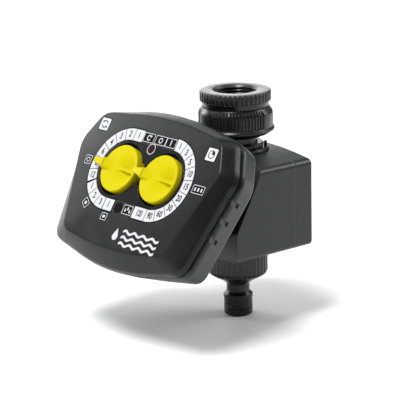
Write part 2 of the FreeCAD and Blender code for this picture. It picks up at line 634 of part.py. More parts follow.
def solenoid():
    """Core tube, coil, yoke, plunger, spring and latching magnet, all along -X from the pilot face."""
    inwards = FreeCAD.Rotation(FreeCAD.Vector(0, 1, 0), -90)

    def inward(name, shape, near):
        loose(name, placed(shape, FreeCAD.Vector(size(near), 0, size("valve_axis")), inwards))

    core = size("core_radius")
    bore = size("core_radius - core_wall")
    length = size("pilot_face - core_end")
    tube = Part.makeCylinder(core, length).cut(Part.makeCylinder(bore, length - 1.0))
    flange = Part.makeCylinder(size("pilot_radius") - 0.2, 1.4).cut(Part.makeCylinder(bore, 1.4))
    inward("core_tube", tube.fuse(flange), "pilot_face")
    coil_radius = size("coil_radius")
    coil_long = size("coil_near - coil_far")
    coil = Part.makeCylinder(coil_radius - 1.0, coil_long)
    for height in (0.0, coil_long - 1.0):
        coil = coil.fuse(Part.makeCylinder(coil_radius, 1.0, FreeCAD.Vector(0, 0, height)))
    inward("solenoid_coil", coil.cut(Part.makeCylinder(core + 0.1, coil_long)), "coil_near")
    half = coil_radius + 0.2
    yoke = box_shape(-half - 1.5, half + 1.5, -7.0, 7.0, 0.0, coil_long + 1.4)
    yoke = yoke.cut(box_shape(-half, half, -7.0, 7.0, 0.0, coil_long))
    inward("solenoid_yoke", yoke.cut(Part.makeCylinder(core + 0.1, coil_long + 2.0)), "coil_near")
    plunger = Part.makeCylinder(bore - size("running_gap"), size("plunger_long"))
    socket = Part.makeCylinder(1.6, 4.0, FreeCAD.Vector(0, 0, size("plunger_long") - 4.0))
    inward("solenoid_plunger", plunger.cut(socket), "plunger_near")
    inward("plunger_spring", helix_spring(2.4, 0.25, size("latch_spring_long"), 4), "latch_spring_near")
    inward("latch_magnet", Part.makeCylinder(bore, size("magnet_long")), "core_end + 1 + magnet_long")


# ---------------------------------------------------------------- outlet

def outlet():
    """Union nut, washer and the quick-connect spigot with its O-ring."""
    nut = lathe("outlet_union_nut", (
        ("stub_radius + 0.3", "outlet_nut_top"), ("outlet_nut_radius - 0.8", "outlet_nut_top"),
        ("outlet_nut_radius", "outlet_nut_top - 0.8"), ("outlet_nut_radius", "outlet_nut_low + 4.8"),
        ("outlet_nut_radius - 0.2", "outlet_nut_low + 3.6"),
        ("outlet_nut_radius - 3.6", "outlet_nut_low + 1.2"),
        ("outlet_nut_hole + 0.8", "outlet_nut_low"), ("outlet_nut_hole", "outlet_nut_low"),
        ("outlet_nut_hole", "stub_low - 4.4"), ("stub_radius + 0.3", "stub_low - 4.4")))
    flutes(nut, "outlet_nut_radius", "outlet_nut_low + 3.6", "outlet_nut_top", 36, "1.0", "0.5")
    flat_washer("outlet_washer", "valve_bore", "stub_radius - 0.5", "stub_low - 1.8", "1.8")
    lathe("outlet_spigot", (
        ("spigot_bore", "spigot_low"), ("spigot_radius - 0.8", "spigot_low"),
        ("spigot_radius", "spigot_low + 0.8"),
        ("spigot_radius", "ring_seat - 1.1"), ("spigot_radius - ring_groove", "ring_seat - 1.1"),
        ("spigot_radius - ring_groove", "ring_seat + 1.1"), ("spigot_radius", "ring_seat + 1.1"),
        ("spigot_radius", "spigot_low + 10.1"), ("spigot_ridge", "spigot_low + 10.6"),
        ("spigot_ridge", "spigot_low + 12.6"), ("spigot_neck", "spigot_low + 14.4"),
        ("spigot_neck", "spigot_low + 18.6"),
        ("spigot_neck + 0.5", "spigot_low + 19.4"), ("spigot_shoulder", "spigot_low + 22.1"),
        ("spigot_shoulder", "stub_low - 4.1"), ("stub_radius - 0.5", "stub_low - 4.1"),
        ("stub_radius - 0.5", "stub_low - 1.8"), ("spigot_bore", "stub_low - 1.8")))
    seal = doc.addObject("Part::Torus", "spigot_seal")
    seal.setExpression("Radius1", bound("spigot_radius - 0.8"))
    seal.setExpression("Radius2", bound("ring_wire"))
    seal.setExpression("Placement.Base.z", bound("ring_seat"))
    seal.Label = "spigot_seal"
    nodes.append(seal)


# ---------------------------------------------------------------- control head

def head_outline(sketch, layer, inset="0"):
    """One of the head's outlines, moved in by a distance."""
    def at(part_name, sign, setback="corner_setback"):
        x, y = part_name + "_x", part_name + "_u"
        return "%s_%s - (%s)" % (layer, x, inset), "%s_%s %s (%s)" % (layer, y, sign, inset), setback
    side = [at("top", "-"), ("%s_side_x - (%s)" % (layer, inset), "%s_side_u" % layer, "corner_setback"),
            at("foot", "+")]
    mirror = [("-(%s)" % x, y, setback) for x, y, setback in reversed(side)]
    crown = ("0", "%s_crown - (%s)" % (layer, inset), "bow_setback")
    foot = ("0", "%s_foot + (%s)" % (layer, inset), "bow_setback")
    rounded_outline(sketch, [crown, *side, foot, *mirror])


def loft(body, sketches, adding=True):
    kind = "AdditiveLoft" if adding else "SubtractiveLoft"
    made = feature(body, kind, sketches[0])
    made.Sections = sketches[1:]
    made.Ruled = True
    doc.recompute()


def capsule(sketch, radius):
    """An outline round both dial circles: two half circles and the two lines that touch them."""
    spread = size("dial_spread")
    rounding = size(radius)
    across = FreeCAD.Vector(spread, 0, 0)
    up = FreeCAD.Vector(0, rounding, 0)
    arcs = []
    for side, middle, sign in ((-1, -across, "-"), (1, across, "")):
        arc = Part.Arc(middle + up, middle + FreeCAD.Vector(side * rounding, 0, 0), middle - up)
        geometry = sketch.addGeometry(arc, False)
        arcs.append(geometry)
        pin(sketch, geometry, 3, sign + "dial_spread", "0")
        index = sketch.addConstraint(Sketcher.Constraint("Radius", geometry, rounding))
        sketch.setExpression("Constraints[%d]" % index, bound(radius))
        for end in (1, 2):
            index = sketch.addConstraint(Sketcher.Constraint("DistanceX", -1, 1, geometry, end, side * spread))
            sketch.setExpression("Constraints[%d]" % index, bound(sign + "dial_spread"))
    for height in (up, -up):
        geometry = sketch.addGeometry(Part.LineSegment(height - across, height + across), False)
        for end, arc in zip((1, 2), arcs):
            spot = sketch.getPoint(geometry, end)
            arc_end = min((1, 2), key=lambda point: (sketch.getPoint(arc, point) - spot).Length)
            sketch.addConstraint(Sketcher.Constraint("Coincident", geometry, end, arc, arc_end))


# How far up the dock the middle of the head's back lies.
GRIP_HEIGHTS = ("1", "-10.3", "-21.7")
BACK_ALONG = ("(head_front - housing_front) * sin(dock_tilt) + (head_height - dock_foot) * cos(dock_tilt)"
              " - back_depth * sin(head_tilt - dock_tilt)")
HEAD_SCREWS = (("45", "22"), ("-45", "22"), ("41", "-36"), ("-41", "-36"))


def grip_notches(body, profile):
    """Short grooves down both sides of a shell, whose profile runs out from the side and up."""
    for height in GRIP_HEIGHTS:
        slope = "(seam_side_x - seam_foot_x) / (seam_side_u - seam_foot_u)"
        side = "seam_side_x - (seam_side_u - (%s)) * %s" % (height, slope)
        for sign in ("", "-"):
            sketch = start_sketch(body, "XZ_Plane", "-(%s) - grip_half" % height)
            polygon(sketch, [("%s(%s + (%s))" % (sign, side, out), up) for out, up in profile])
            pocket(body, sketch, "2 * grip_half", forwards=True)


def head_front_shell():
    """Front shell: flat dial panel, wide bevel and the rim down to the seam, with small dimples."""
    body = start_body("head_front_shell", FACE)
    layers = (("panel", "0"), ("rim", "-rim_depth"), ("seam", "-seam_depth"))
    sketches = []
    for layer, height in layers:
        sketch = start_sketch(body, "XY_Plane", height)
        head_outline(sketch, layer)
        sketches.append(sketch)
    loft(body, sketches)
    inner = []
    for layer, height in (("panel", "-panel_wall"), ("rim", "-rim_depth - 1"), ("seam", "-seam_depth - 0.01")):
        sketch = start_sketch(body, "XY_Plane", height)
        head_outline(sketch, layer, "shell_wall + 0.6")
        inner.append(sketch)
    loft(body, inner, adding=False)
    opening = start_sketch(body, "XY_Plane", "1")
    capsule(opening, "well_radius + 0.1")
    pocket(body, opening, "panel_wall + 2")
    posts = start_sketch(body, "XY_Plane", "-panel_wall + 0.5")
    for x, y in HEAD_SCREWS:
        circle(posts, x, y, "3.2")
    pad(body, posts, "seam_depth - panel_wall + 0.5", backwards=True)
    holes = start_sketch(body, "XY_Plane", "-seam_depth")
    for x, y in HEAD_SCREWS:
        circle(holes, x, y, "screw_radius + 0.05")
    pocket(body, holes, "6", forwards=True)
    grip_notches(body, (("1", "-seam_depth - 1"), ("-grip_deep", "-seam_depth - 1"),
                        ("-grip_deep + 0.2", "-seam_depth + 1.4"), ("1", "-seam_depth + 2.6")))


def head_rear_shell():
    """Rear shell with the battery bay on its back."""
    body = start_body("head_rear_shell", FACE)
    lean = "head_tilt - dock_tilt"
    front = start_sketch(body, "XY_Plane", "-seam_depth - seam_gap")
    head_outline(front, "seam")
    back = start_sketch(body, "XY_Plane", "-back_depth", lean)
    head_outline(back, "back")
    loft(body, [front, back])
    low = min(face.CenterOfMass.z for face in body.Shape.Faces)
    round_edges(body, "4", lambda edge: rear_rim(edge, body, low))
    inner_front = start_sketch(body, "XY_Plane", "-seam_depth - seam_gap + 0.01")
    head_outline(inner_front, "seam", "shell_wall + 0.6")
    inner_back = start_sketch(body, "XY_Plane", "-back_depth + shell_wall", lean)
    head_outline(inner_back, "back", "shell_wall + 2.6")
    loft(body, [inner_front, inner_back], adding=False)
    for places, depth in ((HEAD_SCREWS[:2], "15.6"), (HEAD_SCREWS[2:], "18.4")):
        posts = start_sketch(body, "XY_Plane", "-seam_depth - seam_gap")
        for x, y in places:
            circle(posts, x, y, "4.2")
        pad(body, posts, depth, backwards=True)
    for radius, top in (("screw_radius + 0.15", "-seam_depth"), ("head_screw_head + 0.3", "head_screw_seat")):
        holes = start_sketch(body, "XY_Plane", top)
        for x, y in HEAD_SCREWS:
            circle(holes, x, y, radius)
        pocket(body, holes, "24")
    pins = start_sketch(body, "XY_Plane", "-back_depth + shell_wall + 0.1", lean)
    for across in ("contact_across", "-contact_across"):
        circle(pins, across, "contact_along - (%s)" % BACK_ALONG, "1.3")
    pocket(body, pins, "shell_wall + 1")
    grip_notches(body, (("1", "-seam_depth"), ("-grip_deep", "-seam_depth"),
                        ("-grip_deep - 2.2", "-grip_low"), ("1", "-grip_low")))


def rear_rim(edge, body, low):
    """True for the edges round the flat back of the rear shell."""
    backs = [face for face in body.Shape.Faces if abs(face.CenterOfMass.z - low) < 0.01]
    return any(edge.isSame(other) for face in backs for other in face.Edges)


def dial_well():
    """Black insert in the dial panel: a flat plate round a recess that both knobs turn in."""
    body = start_body("dial_well", FACE)
    plate = start_sketch(body, "XY_Plane", "-well_depth - well_floor")
    capsule(plate, "well_radius")
    pad(body, plate, "well_depth + well_floor")
    flange = start_sketch(body, "XY_Plane", "-well_depth - well_floor")
    capsule(flange, "well_radius + 1.6")
    pad(body, flange, "well_depth + well_floor - panel_wall - 0.1")
    discs = start_sketch(body, "XY_Plane")
    circle(discs, "dial_spread", "0", "well_recess")
    circle(discs, "-dial_spread", "0", "well_recess")
    pocket(body, discs, "well_depth")
    waist = start_sketch(body, "XY_Plane")
    rounded_outline(waist, [("6", "6.5", "0.5"), ("6", "-6.5", "0.5"),
                            ("-6", "-6.5", "0.5"), ("-6", "6.5", "0.5")])
    pocket(body, waist, "well_depth")
    shafts = start_sketch(body, "XY_Plane", "-well_depth + 1")
    circle(shafts, "dial_spread", "0", "shaft_radius + running_gap")
    circle(shafts, "-dial_spread", "0", "shaft_radius + running_gap")
    pocket(body, shafts, "well_floor + 2")
    light = start_sketch(body, "XY_Plane")
    circle(light, "0", "lens_height", "lens_radius + 0.1")
    pocket(body, light, "well_depth + well_floor + 1")


def swung(middle, along, across):
    """Place of a point given along a dial's pointer and across it."""
    x = "%s - (%s) * cos(pointer_turn) + (%s) * sin(pointer_turn)" % (middle, along, across)
    return x, "(%s) * sin(pointer_turn) + (%s) * cos(pointer_turn)" % (along, across)


def knob(name, middle):
    """Dial disc with a wedge-shaped grip between two scoops, and a pointer that reaches over the scale."""
    body = start_body(name, FACE)
    disc = start_sketch(body, "XY_Plane", "knob_low")
    circle(disc, middle, "0", "knob_radius")
    pad(body, disc, "knob_top - knob_low")
    scoops = start_sketch(body, "YZ_Plane", "%s + knob_radius + 1" % middle)
    for side in ("", "-"):
        circle(scoops, side + "scoop_across", "knob_top + scoop_height", "scoop_radius")
    pocket(body, scoops, "knob_radius + 4")
    levels = (("knob_low + 1", "grip_top", "-grip_tail", "grip_end", "pointer_root", "pointer_half"),
              ("knob_top - 1", "pointer_top", "pointer_start", "pointer_half", "pointer_root",
              "pointer_half"),
              ("pointer_top - pointer_thick", "pointer_top", "pointer_root - 1", "pointer_half",
              "pointer_reach",
               "pointer_tip"))
    for low, top, near, near_half, far, far_half in levels:
        wedge = start_sketch(body, "XY_Plane", low)
        polygon(wedge, (swung(middle, near, near_half), swung(middle, far, far_half),
                        swung(middle, far, "-" + far_half), swung(middle, near, "-" + near_half)))
        pad(body, wedge, "%s - (%s)" % (top, low))
    hole = start_sketch(body, "XY_Plane", "knob_low")
    circle(hole, middle, "0", "shaft_radius")
    pocket(body, hole, "shaft_socket", forwards=True)


def dial_drive(name, middle):
    """Rotary switch on the circuit board and the shaft that turns in it."""
    shaft = start_body(name + "_shaft", FACE)
    rod = start_sketch(shaft, "XY_Plane", "board_top + 1")
    circle(rod, middle, "0", "shaft_radius")
    pad(shaft, rod, "knob_low + shaft_socket - board_top - 1")
    rotor = start_sketch(shaft, "XY_Plane", "board_top + 1")
    circle(rotor, middle, "0", "rotor_radius")
    pad(shaft, rotor, "rotor_thick")
    case = start_body(name + "_switch", FACE)
    square = start_sketch(case, "XY_Plane", "board_top")
    rounded_outline(square, [(middle + " + switch_half", "switch_half", "1"),
                             (middle + " + switch_half", "-switch_half", "1"),
                             (middle + " - switch_half", "-switch_half", "1"),
                             (middle + " - switch_half", "switch_half", "1")])
    pad(case, square, "switch_high")
    for radius, depth in (("rotor_radius + 0.3", "rotor_thick + 1.3"),
                          ("shaft_radius + running_gap", "switch_high + 0.1")):
        hollow = start_sketch(case, "XY_Plane", "board_top")
        circle(hollow, middle, "0", radius)
        pocket(case, hollow, depth, forwards=True)


def knob_seals():
    """O-rings on the dial shafts, under the floor of the recess."""
    height = size("-well_depth - well_floor") - 0.45
    rings = [Part.makeTorus(3.47, 0.42, FreeCAD.Vector(side * size("dial_spread"), 0, height))
             for side in (-1, 1)]
    loose("knob_seals", Part.makeCompound(rings), FACE)


def circuit_board():
    body = start_body("circuit_board", FACE)
    outline = start_sketch(body, "XY_Plane", "board_top - board_thick")
    rounded_outline(outline, [("39.5", "27", "3"), ("39.5", "-30", "3"),
                              ("-39.5", "-30", "3"), ("-39.5", "27", "3")])
    pad(body, outline, "board_thick")


def board_components():
    """Controller, valve driver, two capacitors and the lead socket on the underside of the board."""
    under = size("board_top - board_thick")
    chips = [box_shape(-5, 5, -9, 1, under - 1.4, under), box_shape(14, 20, -16, -11, under - 1.6, under),
             box_shape(-32, -22, -24, -18, under - 6.0, under), box_shape(22, 28, 8, 11, under - 2.0, under)]
    cans = [Part.makeCylinder(2.5, 6.5, FreeCAD.Vector(x, -20, under - 6.5)) for x in (-8, 0)]
    loose("board_components", Part.makeCompound(chips + cans), FACE)


def status_light():
    """LED on the board and the light pipe that carries it to the panel."""
    pipe = start_body("status_lens", FACE)
    rod = start_sketch(pipe, "XY_Plane", "board_top + 1.6")
    circle(rod, "0", "lens_height", "lens_radius")
    pad(pipe, rod, "lens_proud - board_top - 1.6")
    low = size("board_top")
    led = box_shape(-1.4, 1.4, size("lens_height") - 1.0, size("lens_height") + 1.0, low, low + 1.2)
    loose("status_led", led, FACE)


def head_seal():
    """Flat seal between the two head shells, set in from the outside."""
    body = start_body("head_seal", FACE)
    ring = start_sketch(body, "XY_Plane", "-seam_depth - seam_gap")
    head_outline(ring, "seam", "1.1")
    pad(body, ring, "seam_gap")
    inside = start_sketch(body, "XY_Plane", "-seam_depth")
    head_outline(inside, "seam", "shell_wall + 0.6")
    pocket(body, inside, "seam_gap")


def head_screws():
    turn = FreeCAD.Rotation(FreeCAD.Vector(1, 0, 0), 180)
    screw = screw_shape(size("head_screw_head"), 2.0, size("screw_radius"), 12.0)
    spots = [FreeCAD.Vector(size(x), size(y), size("head_screw_seat")) for x, y in HEAD_SCREWS]
    loose("head_screws", Part.makeCompound([placed(screw, spot, turn) for spot in spots]), FACE)


def battery_bay():
    """Box on the back of the head that plugs into the dock and that the battery drawer slides up into."""
    body = start_body("battery_bay", DOCK)
    outline = start_sketch(body, "XY_Plane", "bay_inner")
    rounded_outline(outline, [("bay_half", "bay_high", "4"), ("bay_half", "bay_low", "1"),
                              ("-bay_half", "bay_low", "1"), ("-bay_half", "bay_high", "4")])
    pad(body, outline, "bay_outer - bay_inner")
    space = start_sketch(body, "XZ_Plane", "-bay_low")
    half = "drawer_half + 0.4"
    polygon(space, (("-(%s)" % half, "-0.1"), (half, "-0.1"), (half, "bay_outer + 1"),
                    ("-(%s)" % half, "bay_outer + 1")))
    pocket(body, space, "drawer_high + 0.4 - bay_low")
    pins = start_sketch(body, "XY_Plane", "bay_inner")
    for across in ("contact_across", "-contact_across"):
        circle(pins, across, "contact_along", "contact_radius + 0.1")
    pocket(body, pins, "bay_outer - bay_inner + 1", forwards=True)


def head_contacts():
    """Two contact pins that pass through the battery bay to the pads of the dock."""
    low = size("bay_inner") - 0.1
    length = size("bay_outer") + 4.0 - low
    along = size("contact_along")
    pins = [Part.makeCylinder(size("contact_radius"), length,
                              FreeCAD.Vector(side * size("contact_across"), along, low))
            for side in (-1, 1)]
    loose("head_contacts", Part.makeCompound(pins), DOCK)


def battery_drawer():
    """Tray for the battery with the end plate that closes the bay, and a lip to pull it by."""
    body = start_body("battery_drawer", DOCK)
    tray = start_sketch(body, "XY_Plane", "drawer_floor")
    polygon(tray, (("-drawer_half", "bay_low - 0.4"), ("drawer_half", "bay_low - 0.4"),
                   ("drawer_half", "drawer_high"), ("-drawer_half", "drawer_high")))
    pad(body, tray, "drawer_roof - drawer_floor")
    space = start_sketch(body, "XY_Plane", "drawer_roof")
    half = "drawer_half - drawer_wall"
    high = "drawer_high - drawer_wall"
    polygon(space, (("-(%s)" % half, "bay_low + 1.2"), (half, "bay_low + 1.2"),
                    (half, high), ("-(%s)" % half, high)))
    pocket(body, space, "drawer_roof - battery_seat + 0.1")
    plate = start_sketch(body, "XY_Plane", "bay_inner + 0.2")
    rounded_outline(plate, [("bay_half - 0.4", "bay_low - 0.3", "0.5"), ("bay_half - 0.4", "bay_low - 2.3", "0.5"),
                            ("0.4 - bay_half", "bay_low - 2.3", "0.5"),
                            ("0.4 - bay_half", "bay_low - 0.3", "0.5")])
    pad(body, plate, "bay_outer - bay_inner - 0.6")
    lip = start_sketch(body, "XY_Plane", "5")
    polygon(lip, (("-11", "bay_low - 4"), ("11", "bay_low - 4"), ("11", "bay_low - 2"), ("-11", "bay_low - 2")))
    pad(body, lip, "3")


def battery():
    """Nine-volt block battery with its two studs, and the snap clip on them."""
    low = size("battery_seat")
    thick = size("battery_thick")
    wide = size("battery_wide")
    end = size("battery_end")
    top = end - size("battery_long")
    case = box_shape(top, end, 0.0, wide, low, low + thick)
    long_edges = [edge for edge in case.Edges if abs(edge.Vertexes[0].X - edge.Vertexes[1].X) > 1]
    case = case.makeFillet(1.5, long_edges)
    studs = []
    holes = []
    for side in (-1, 1):
        spot = FreeCAD.Vector(top - 2.1, wide / 2 + side * size("stud_spread"), low + thick / 2)
        studs.append(Part.makeCylinder(size("stud_radius"), 2.3, spot, FreeCAD.Vector(1, 0, 0)))
        start = spot - FreeCAD.Vector(0.5, 0, 0)
        holes.append(Part.makeCylinder(size("stud_radius") + 0.1, 3.0, start, FreeCAD.Vector(1, 0, 0)))
    loose("battery", case.fuse(studs), DOCK)
    clip = box_shape(top - 2.5, top - 0.4, 1.0, wide - 1.0, low + 2.0, low + thick - 2.0)
    loose("battery_clip", clip.cut(holes), DOCK)


inlet_union_nut()
thread_reducer()
inlet_seals()
inlet_spout()
retaining_ring()
front_housing()
rear_cover()
cover_screws()
dock_contacts()
valve_body()
diaphragm()
valve_bonnet()
diaphragm_spring_and_screws()
solenoid()
outlet()
head_front_shell()
head_rear_shell()
dial_well()
for dial, place in (("interval", "-dial_spread"), ("duration", "dial_spread")):
    knob(dial + "_knob", place)
    dial_drive(dial, place)
knob_seals()
circuit_board()
board_components()
status_light()
head_seal()
head_screws()
battery_bay()
head_contacts()
battery_drawer()
battery()

doc.recompute()
failed = [thing.Name for thing in doc.Objects if "Invalid" in thing.State or "Error" in thing.State]
failed += [node.Label for node in nodes if node.Shape.isNull() or not node.Shape.isValid()]
if failed:
    raise RuntimeError("failed: " + ", ".join(failed))
os.makedirs("parts", exist_ok=True)
for node in nodes:
    node.Shape.exportStep("parts/%s.step" % node.Label)
    print(node.Label, len(node.Shape.Solids), round(node.Shape.Volume, 1))
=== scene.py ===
import json
import math

import bmesh
import bpy
from mathutils import Matrix, Quaternion, Vector
from mathutils.bvhtree import BVHTree

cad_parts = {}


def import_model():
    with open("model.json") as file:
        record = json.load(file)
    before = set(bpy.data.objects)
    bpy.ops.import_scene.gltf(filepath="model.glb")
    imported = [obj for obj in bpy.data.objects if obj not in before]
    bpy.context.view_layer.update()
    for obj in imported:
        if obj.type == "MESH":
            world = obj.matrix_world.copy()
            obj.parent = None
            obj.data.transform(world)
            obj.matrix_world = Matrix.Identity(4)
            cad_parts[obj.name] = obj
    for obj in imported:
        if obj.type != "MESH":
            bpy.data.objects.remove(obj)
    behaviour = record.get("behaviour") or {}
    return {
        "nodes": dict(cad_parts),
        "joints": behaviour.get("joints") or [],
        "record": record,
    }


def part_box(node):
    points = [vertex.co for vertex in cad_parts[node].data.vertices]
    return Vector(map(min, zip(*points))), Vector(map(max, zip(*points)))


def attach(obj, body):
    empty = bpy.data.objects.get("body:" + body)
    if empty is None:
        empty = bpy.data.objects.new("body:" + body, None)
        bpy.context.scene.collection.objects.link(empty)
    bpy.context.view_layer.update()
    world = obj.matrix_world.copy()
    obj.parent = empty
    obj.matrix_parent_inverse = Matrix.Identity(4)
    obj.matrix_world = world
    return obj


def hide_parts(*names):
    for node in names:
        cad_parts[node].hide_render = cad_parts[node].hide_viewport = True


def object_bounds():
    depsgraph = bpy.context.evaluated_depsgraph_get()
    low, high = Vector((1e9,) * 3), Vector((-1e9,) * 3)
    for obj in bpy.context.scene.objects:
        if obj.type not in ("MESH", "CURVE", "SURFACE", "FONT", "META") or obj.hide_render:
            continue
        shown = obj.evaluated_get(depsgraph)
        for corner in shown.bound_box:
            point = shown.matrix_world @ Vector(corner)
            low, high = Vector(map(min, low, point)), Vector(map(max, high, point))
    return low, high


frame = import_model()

# Looks of the two-dial irrigation timer. Everything is in metres in the row frame, and MM is one millimetre.
# The dial panel has its own frame: x to the right, u up the panel and h out of it, with 0 between the dials.

MM = 0.001
cad_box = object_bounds()
joints = {joint["name"]: joint for joint in frame["joints"]}
left_dial = Vector(joints["interval_turn"]["pos_m"])
right_dial = Vector(joints["duration_turn"]["pos_m"])
dial_spread = (right_dial - left_dial).length / 2
panel_out = Vector(joints["interval_turn"]["axis"]).normalized()
panel_up = panel_out.cross(Vector((1, 0, 0)))
panel = Matrix((Vector((1, 0, 0)), panel_up, panel_out)).transposed().to_4x4()
panel.translation = (left_dial + right_dial) / 2


# ---------------------------------------------------------------- materials

def node_of(tree, kind, **inputs):
    """A shader node with some of its inputs set, by value or by a link from another node's socket."""
    node = tree.nodes.new(kind)
    for name, value in inputs.items():
        socket = node.inputs[name.replace("_", " ")]
        if isinstance(value, bpy.types.NodeSocket):
            tree.links.new(value, socket)
        else:
            socket.default_value = value
    return node


def remap(tree, value, low, high, from_low=0.0, from_high=1.0):
    """The value moved from the range from_low to from_high into the range low to high."""
    node = node_of(tree, "ShaderNodeMapRange", Value=value, From_Min=from_low, From_Max=from_high,
                   To_Min=low, To_Max=high)
    return node.outputs[0]


def mix_colours(tree, share, first, second):
    """The two colours mixed by a share of the second. A mix node's colour sockets are numbers 6 and 7."""
    node = tree.nodes.new("ShaderNodeMix")
    node.data_type = "RGBA"
    for index, value in ((0, share), (6, first), (7, second)):
        if isinstance(value, bpy.types.NodeSocket):
            tree.links.new(value, node.inputs[index])
        else:
            node.inputs[index].default_value = value
    return node.outputs[2]


def shade(colour, factor):
    """A colour made lighter or darker, with its alpha."""
    return (*[min(1.0, part * factor) for part in colour], 1.0)


# The painted highlight on the inlet's top face lies above a height, fades in over a distance and is broken up
# by the fine noise.
TOP_HIGHLIGHT_COLOUR = (0.06, 0.06, 0.062, 1.0)
TOP_HIGHLIGHT_HEIGHT = -0.6 * MM
TOP_HIGHLIGHT_FADE = 0.5 * MM
TOP_HIGHLIGHT_FROM_NOISE = 0.45
TOP_HIGHLIGHT_SHARES = (0.35, 0.6)
BLOTCHES_PER_METRE = 70.0
NOISE_MIDDLE = (0.3, 0.7)

# How far a rounded normal agrees with the true one, on a corner and on a flat face.
CORNER_FACING = 0.80
FLAT_FACING = 0.995


def paint_top_highlight(tree, place, fine, base):
    """The colour with the top face of the inlet painted pale, a painted highlight for the light that face
    catches.
    """
    axes = node_of(tree, "ShaderNodeSeparateXYZ", Vector=place)
    above = remap(tree, axes.outputs["Z"], 0.0, 1.0, TOP_HIGHLIGHT_HEIGHT, TOP_HIGHLIGHT_HEIGHT + TOP_HIGHLIGHT_FADE)
    broken = node_of(tree, "ShaderNodeMath")
    broken.operation = "MULTIPLY"
    tree.links.new(above, broken.inputs[0])
    tree.links.new(remap(tree, fine, TOP_HIGHLIGHT_FROM_NOISE, 1.0, *TOP_HIGHLIGHT_SHARES), broken.inputs[1])
    return mix_colours(tree, broken.outputs[0], base, TOP_HIGHLIGHT_COLOUR)


def surface(name, colour, roughness, grain=0.35, depth=0.02, mottle=0.06, edge=0.3, wear=0.12,
            metal=0.0, top_highlight=False, **extra):
    """A moulded or turned surface.

    grain is the size of its fine texture and depth that texture's height, both in millimetres. mottle is how
    far its colour and roughness wander. edge is the radius that catches light on its corners, in millimetres,
    and wear how much paler those corners are. top_highlight paints the face at the very top of the part pale,
    a painted highlight."""
    material = bpy.data.materials.new(name)
    material.use_nodes = True
    tree = material.node_tree
    shader = tree.nodes["Principled BSDF"]
    place = tree.nodes.new("ShaderNodeTexCoord").outputs["Object"]
    fine = node_of(tree, "ShaderNodeTexNoise", Vector=place, Scale=1 / (grain * MM), Detail=3.0,
                   Roughness=0.6)
    broad = node_of(tree, "ShaderNodeTexNoise", Vector=place, Scale=BLOTCHES_PER_METRE, Detail=4.0,
                    Roughness=0.65)
    rounded = node_of(tree, "ShaderNodeBevel", Radius=edge * MM)
    rounded.samples = 6
    bump = node_of(tree, "ShaderNodeBump", Height=fine.outputs["Fac"], Distance=depth * MM,
                   Normal=rounded.outputs["Normal"], Strength=1.0)
    tree.links.new(bump.outputs["Normal"], shader.inputs["Normal"])
    base = mix_colours(tree, broad.outputs["Fac"], shade(colour, 1 - mottle), shade(colour, 1 + mottle))
    flat = tree.nodes.new("ShaderNodeNewGeometry").outputs["Normal"]
    facing = node_of(tree, "ShaderNodeVectorMath")
    facing.operation = "DOT_PRODUCT"
    tree.links.new(rounded.outputs["Normal"], facing.inputs[0])
    tree.links.new(flat, facing.inputs[1])
    corner = remap(tree, facing.outputs["Value"], wear, 0.0, CORNER_FACING, FLAT_FACING)
    halfway_to_white = shade([0.5 + part / 2 for part in colour], 1.0)
    worn_and_highlit = mix_colours(tree, corner, base, halfway_to_white)
    # A painted highlight: the face at the very top of the part is painted pale.
    if top_highlight:
        worn_and_highlit = paint_top_highlight(tree, place, fine.outputs["Fac"], worn_and_highlit)
    tree.links.new(worn_and_highlit, shader.inputs["Base Color"])
    spread = roughness * mottle * 2
    patchy = remap(tree, broad.outputs["Fac"], roughness - spread, roughness + spread, *NOISE_MIDDLE)
    tree.links.new(patchy, shader.inputs["Roughness"])
    shader.inputs["Metallic"].default_value = metal
    for socket, value in extra.items():
        shader.inputs[socket.replace("_", " ")].default_value = value
    return material


def print_surface(name, colour):
    """Ink on the panel: flat, with a faint unevenness."""
    return surface(name, colour, 0.5, grain=0.12, depth=0.004, mottle=0.03, edge=0.02, wear=0.0,
                   Specular_IOR_Level=0.03)


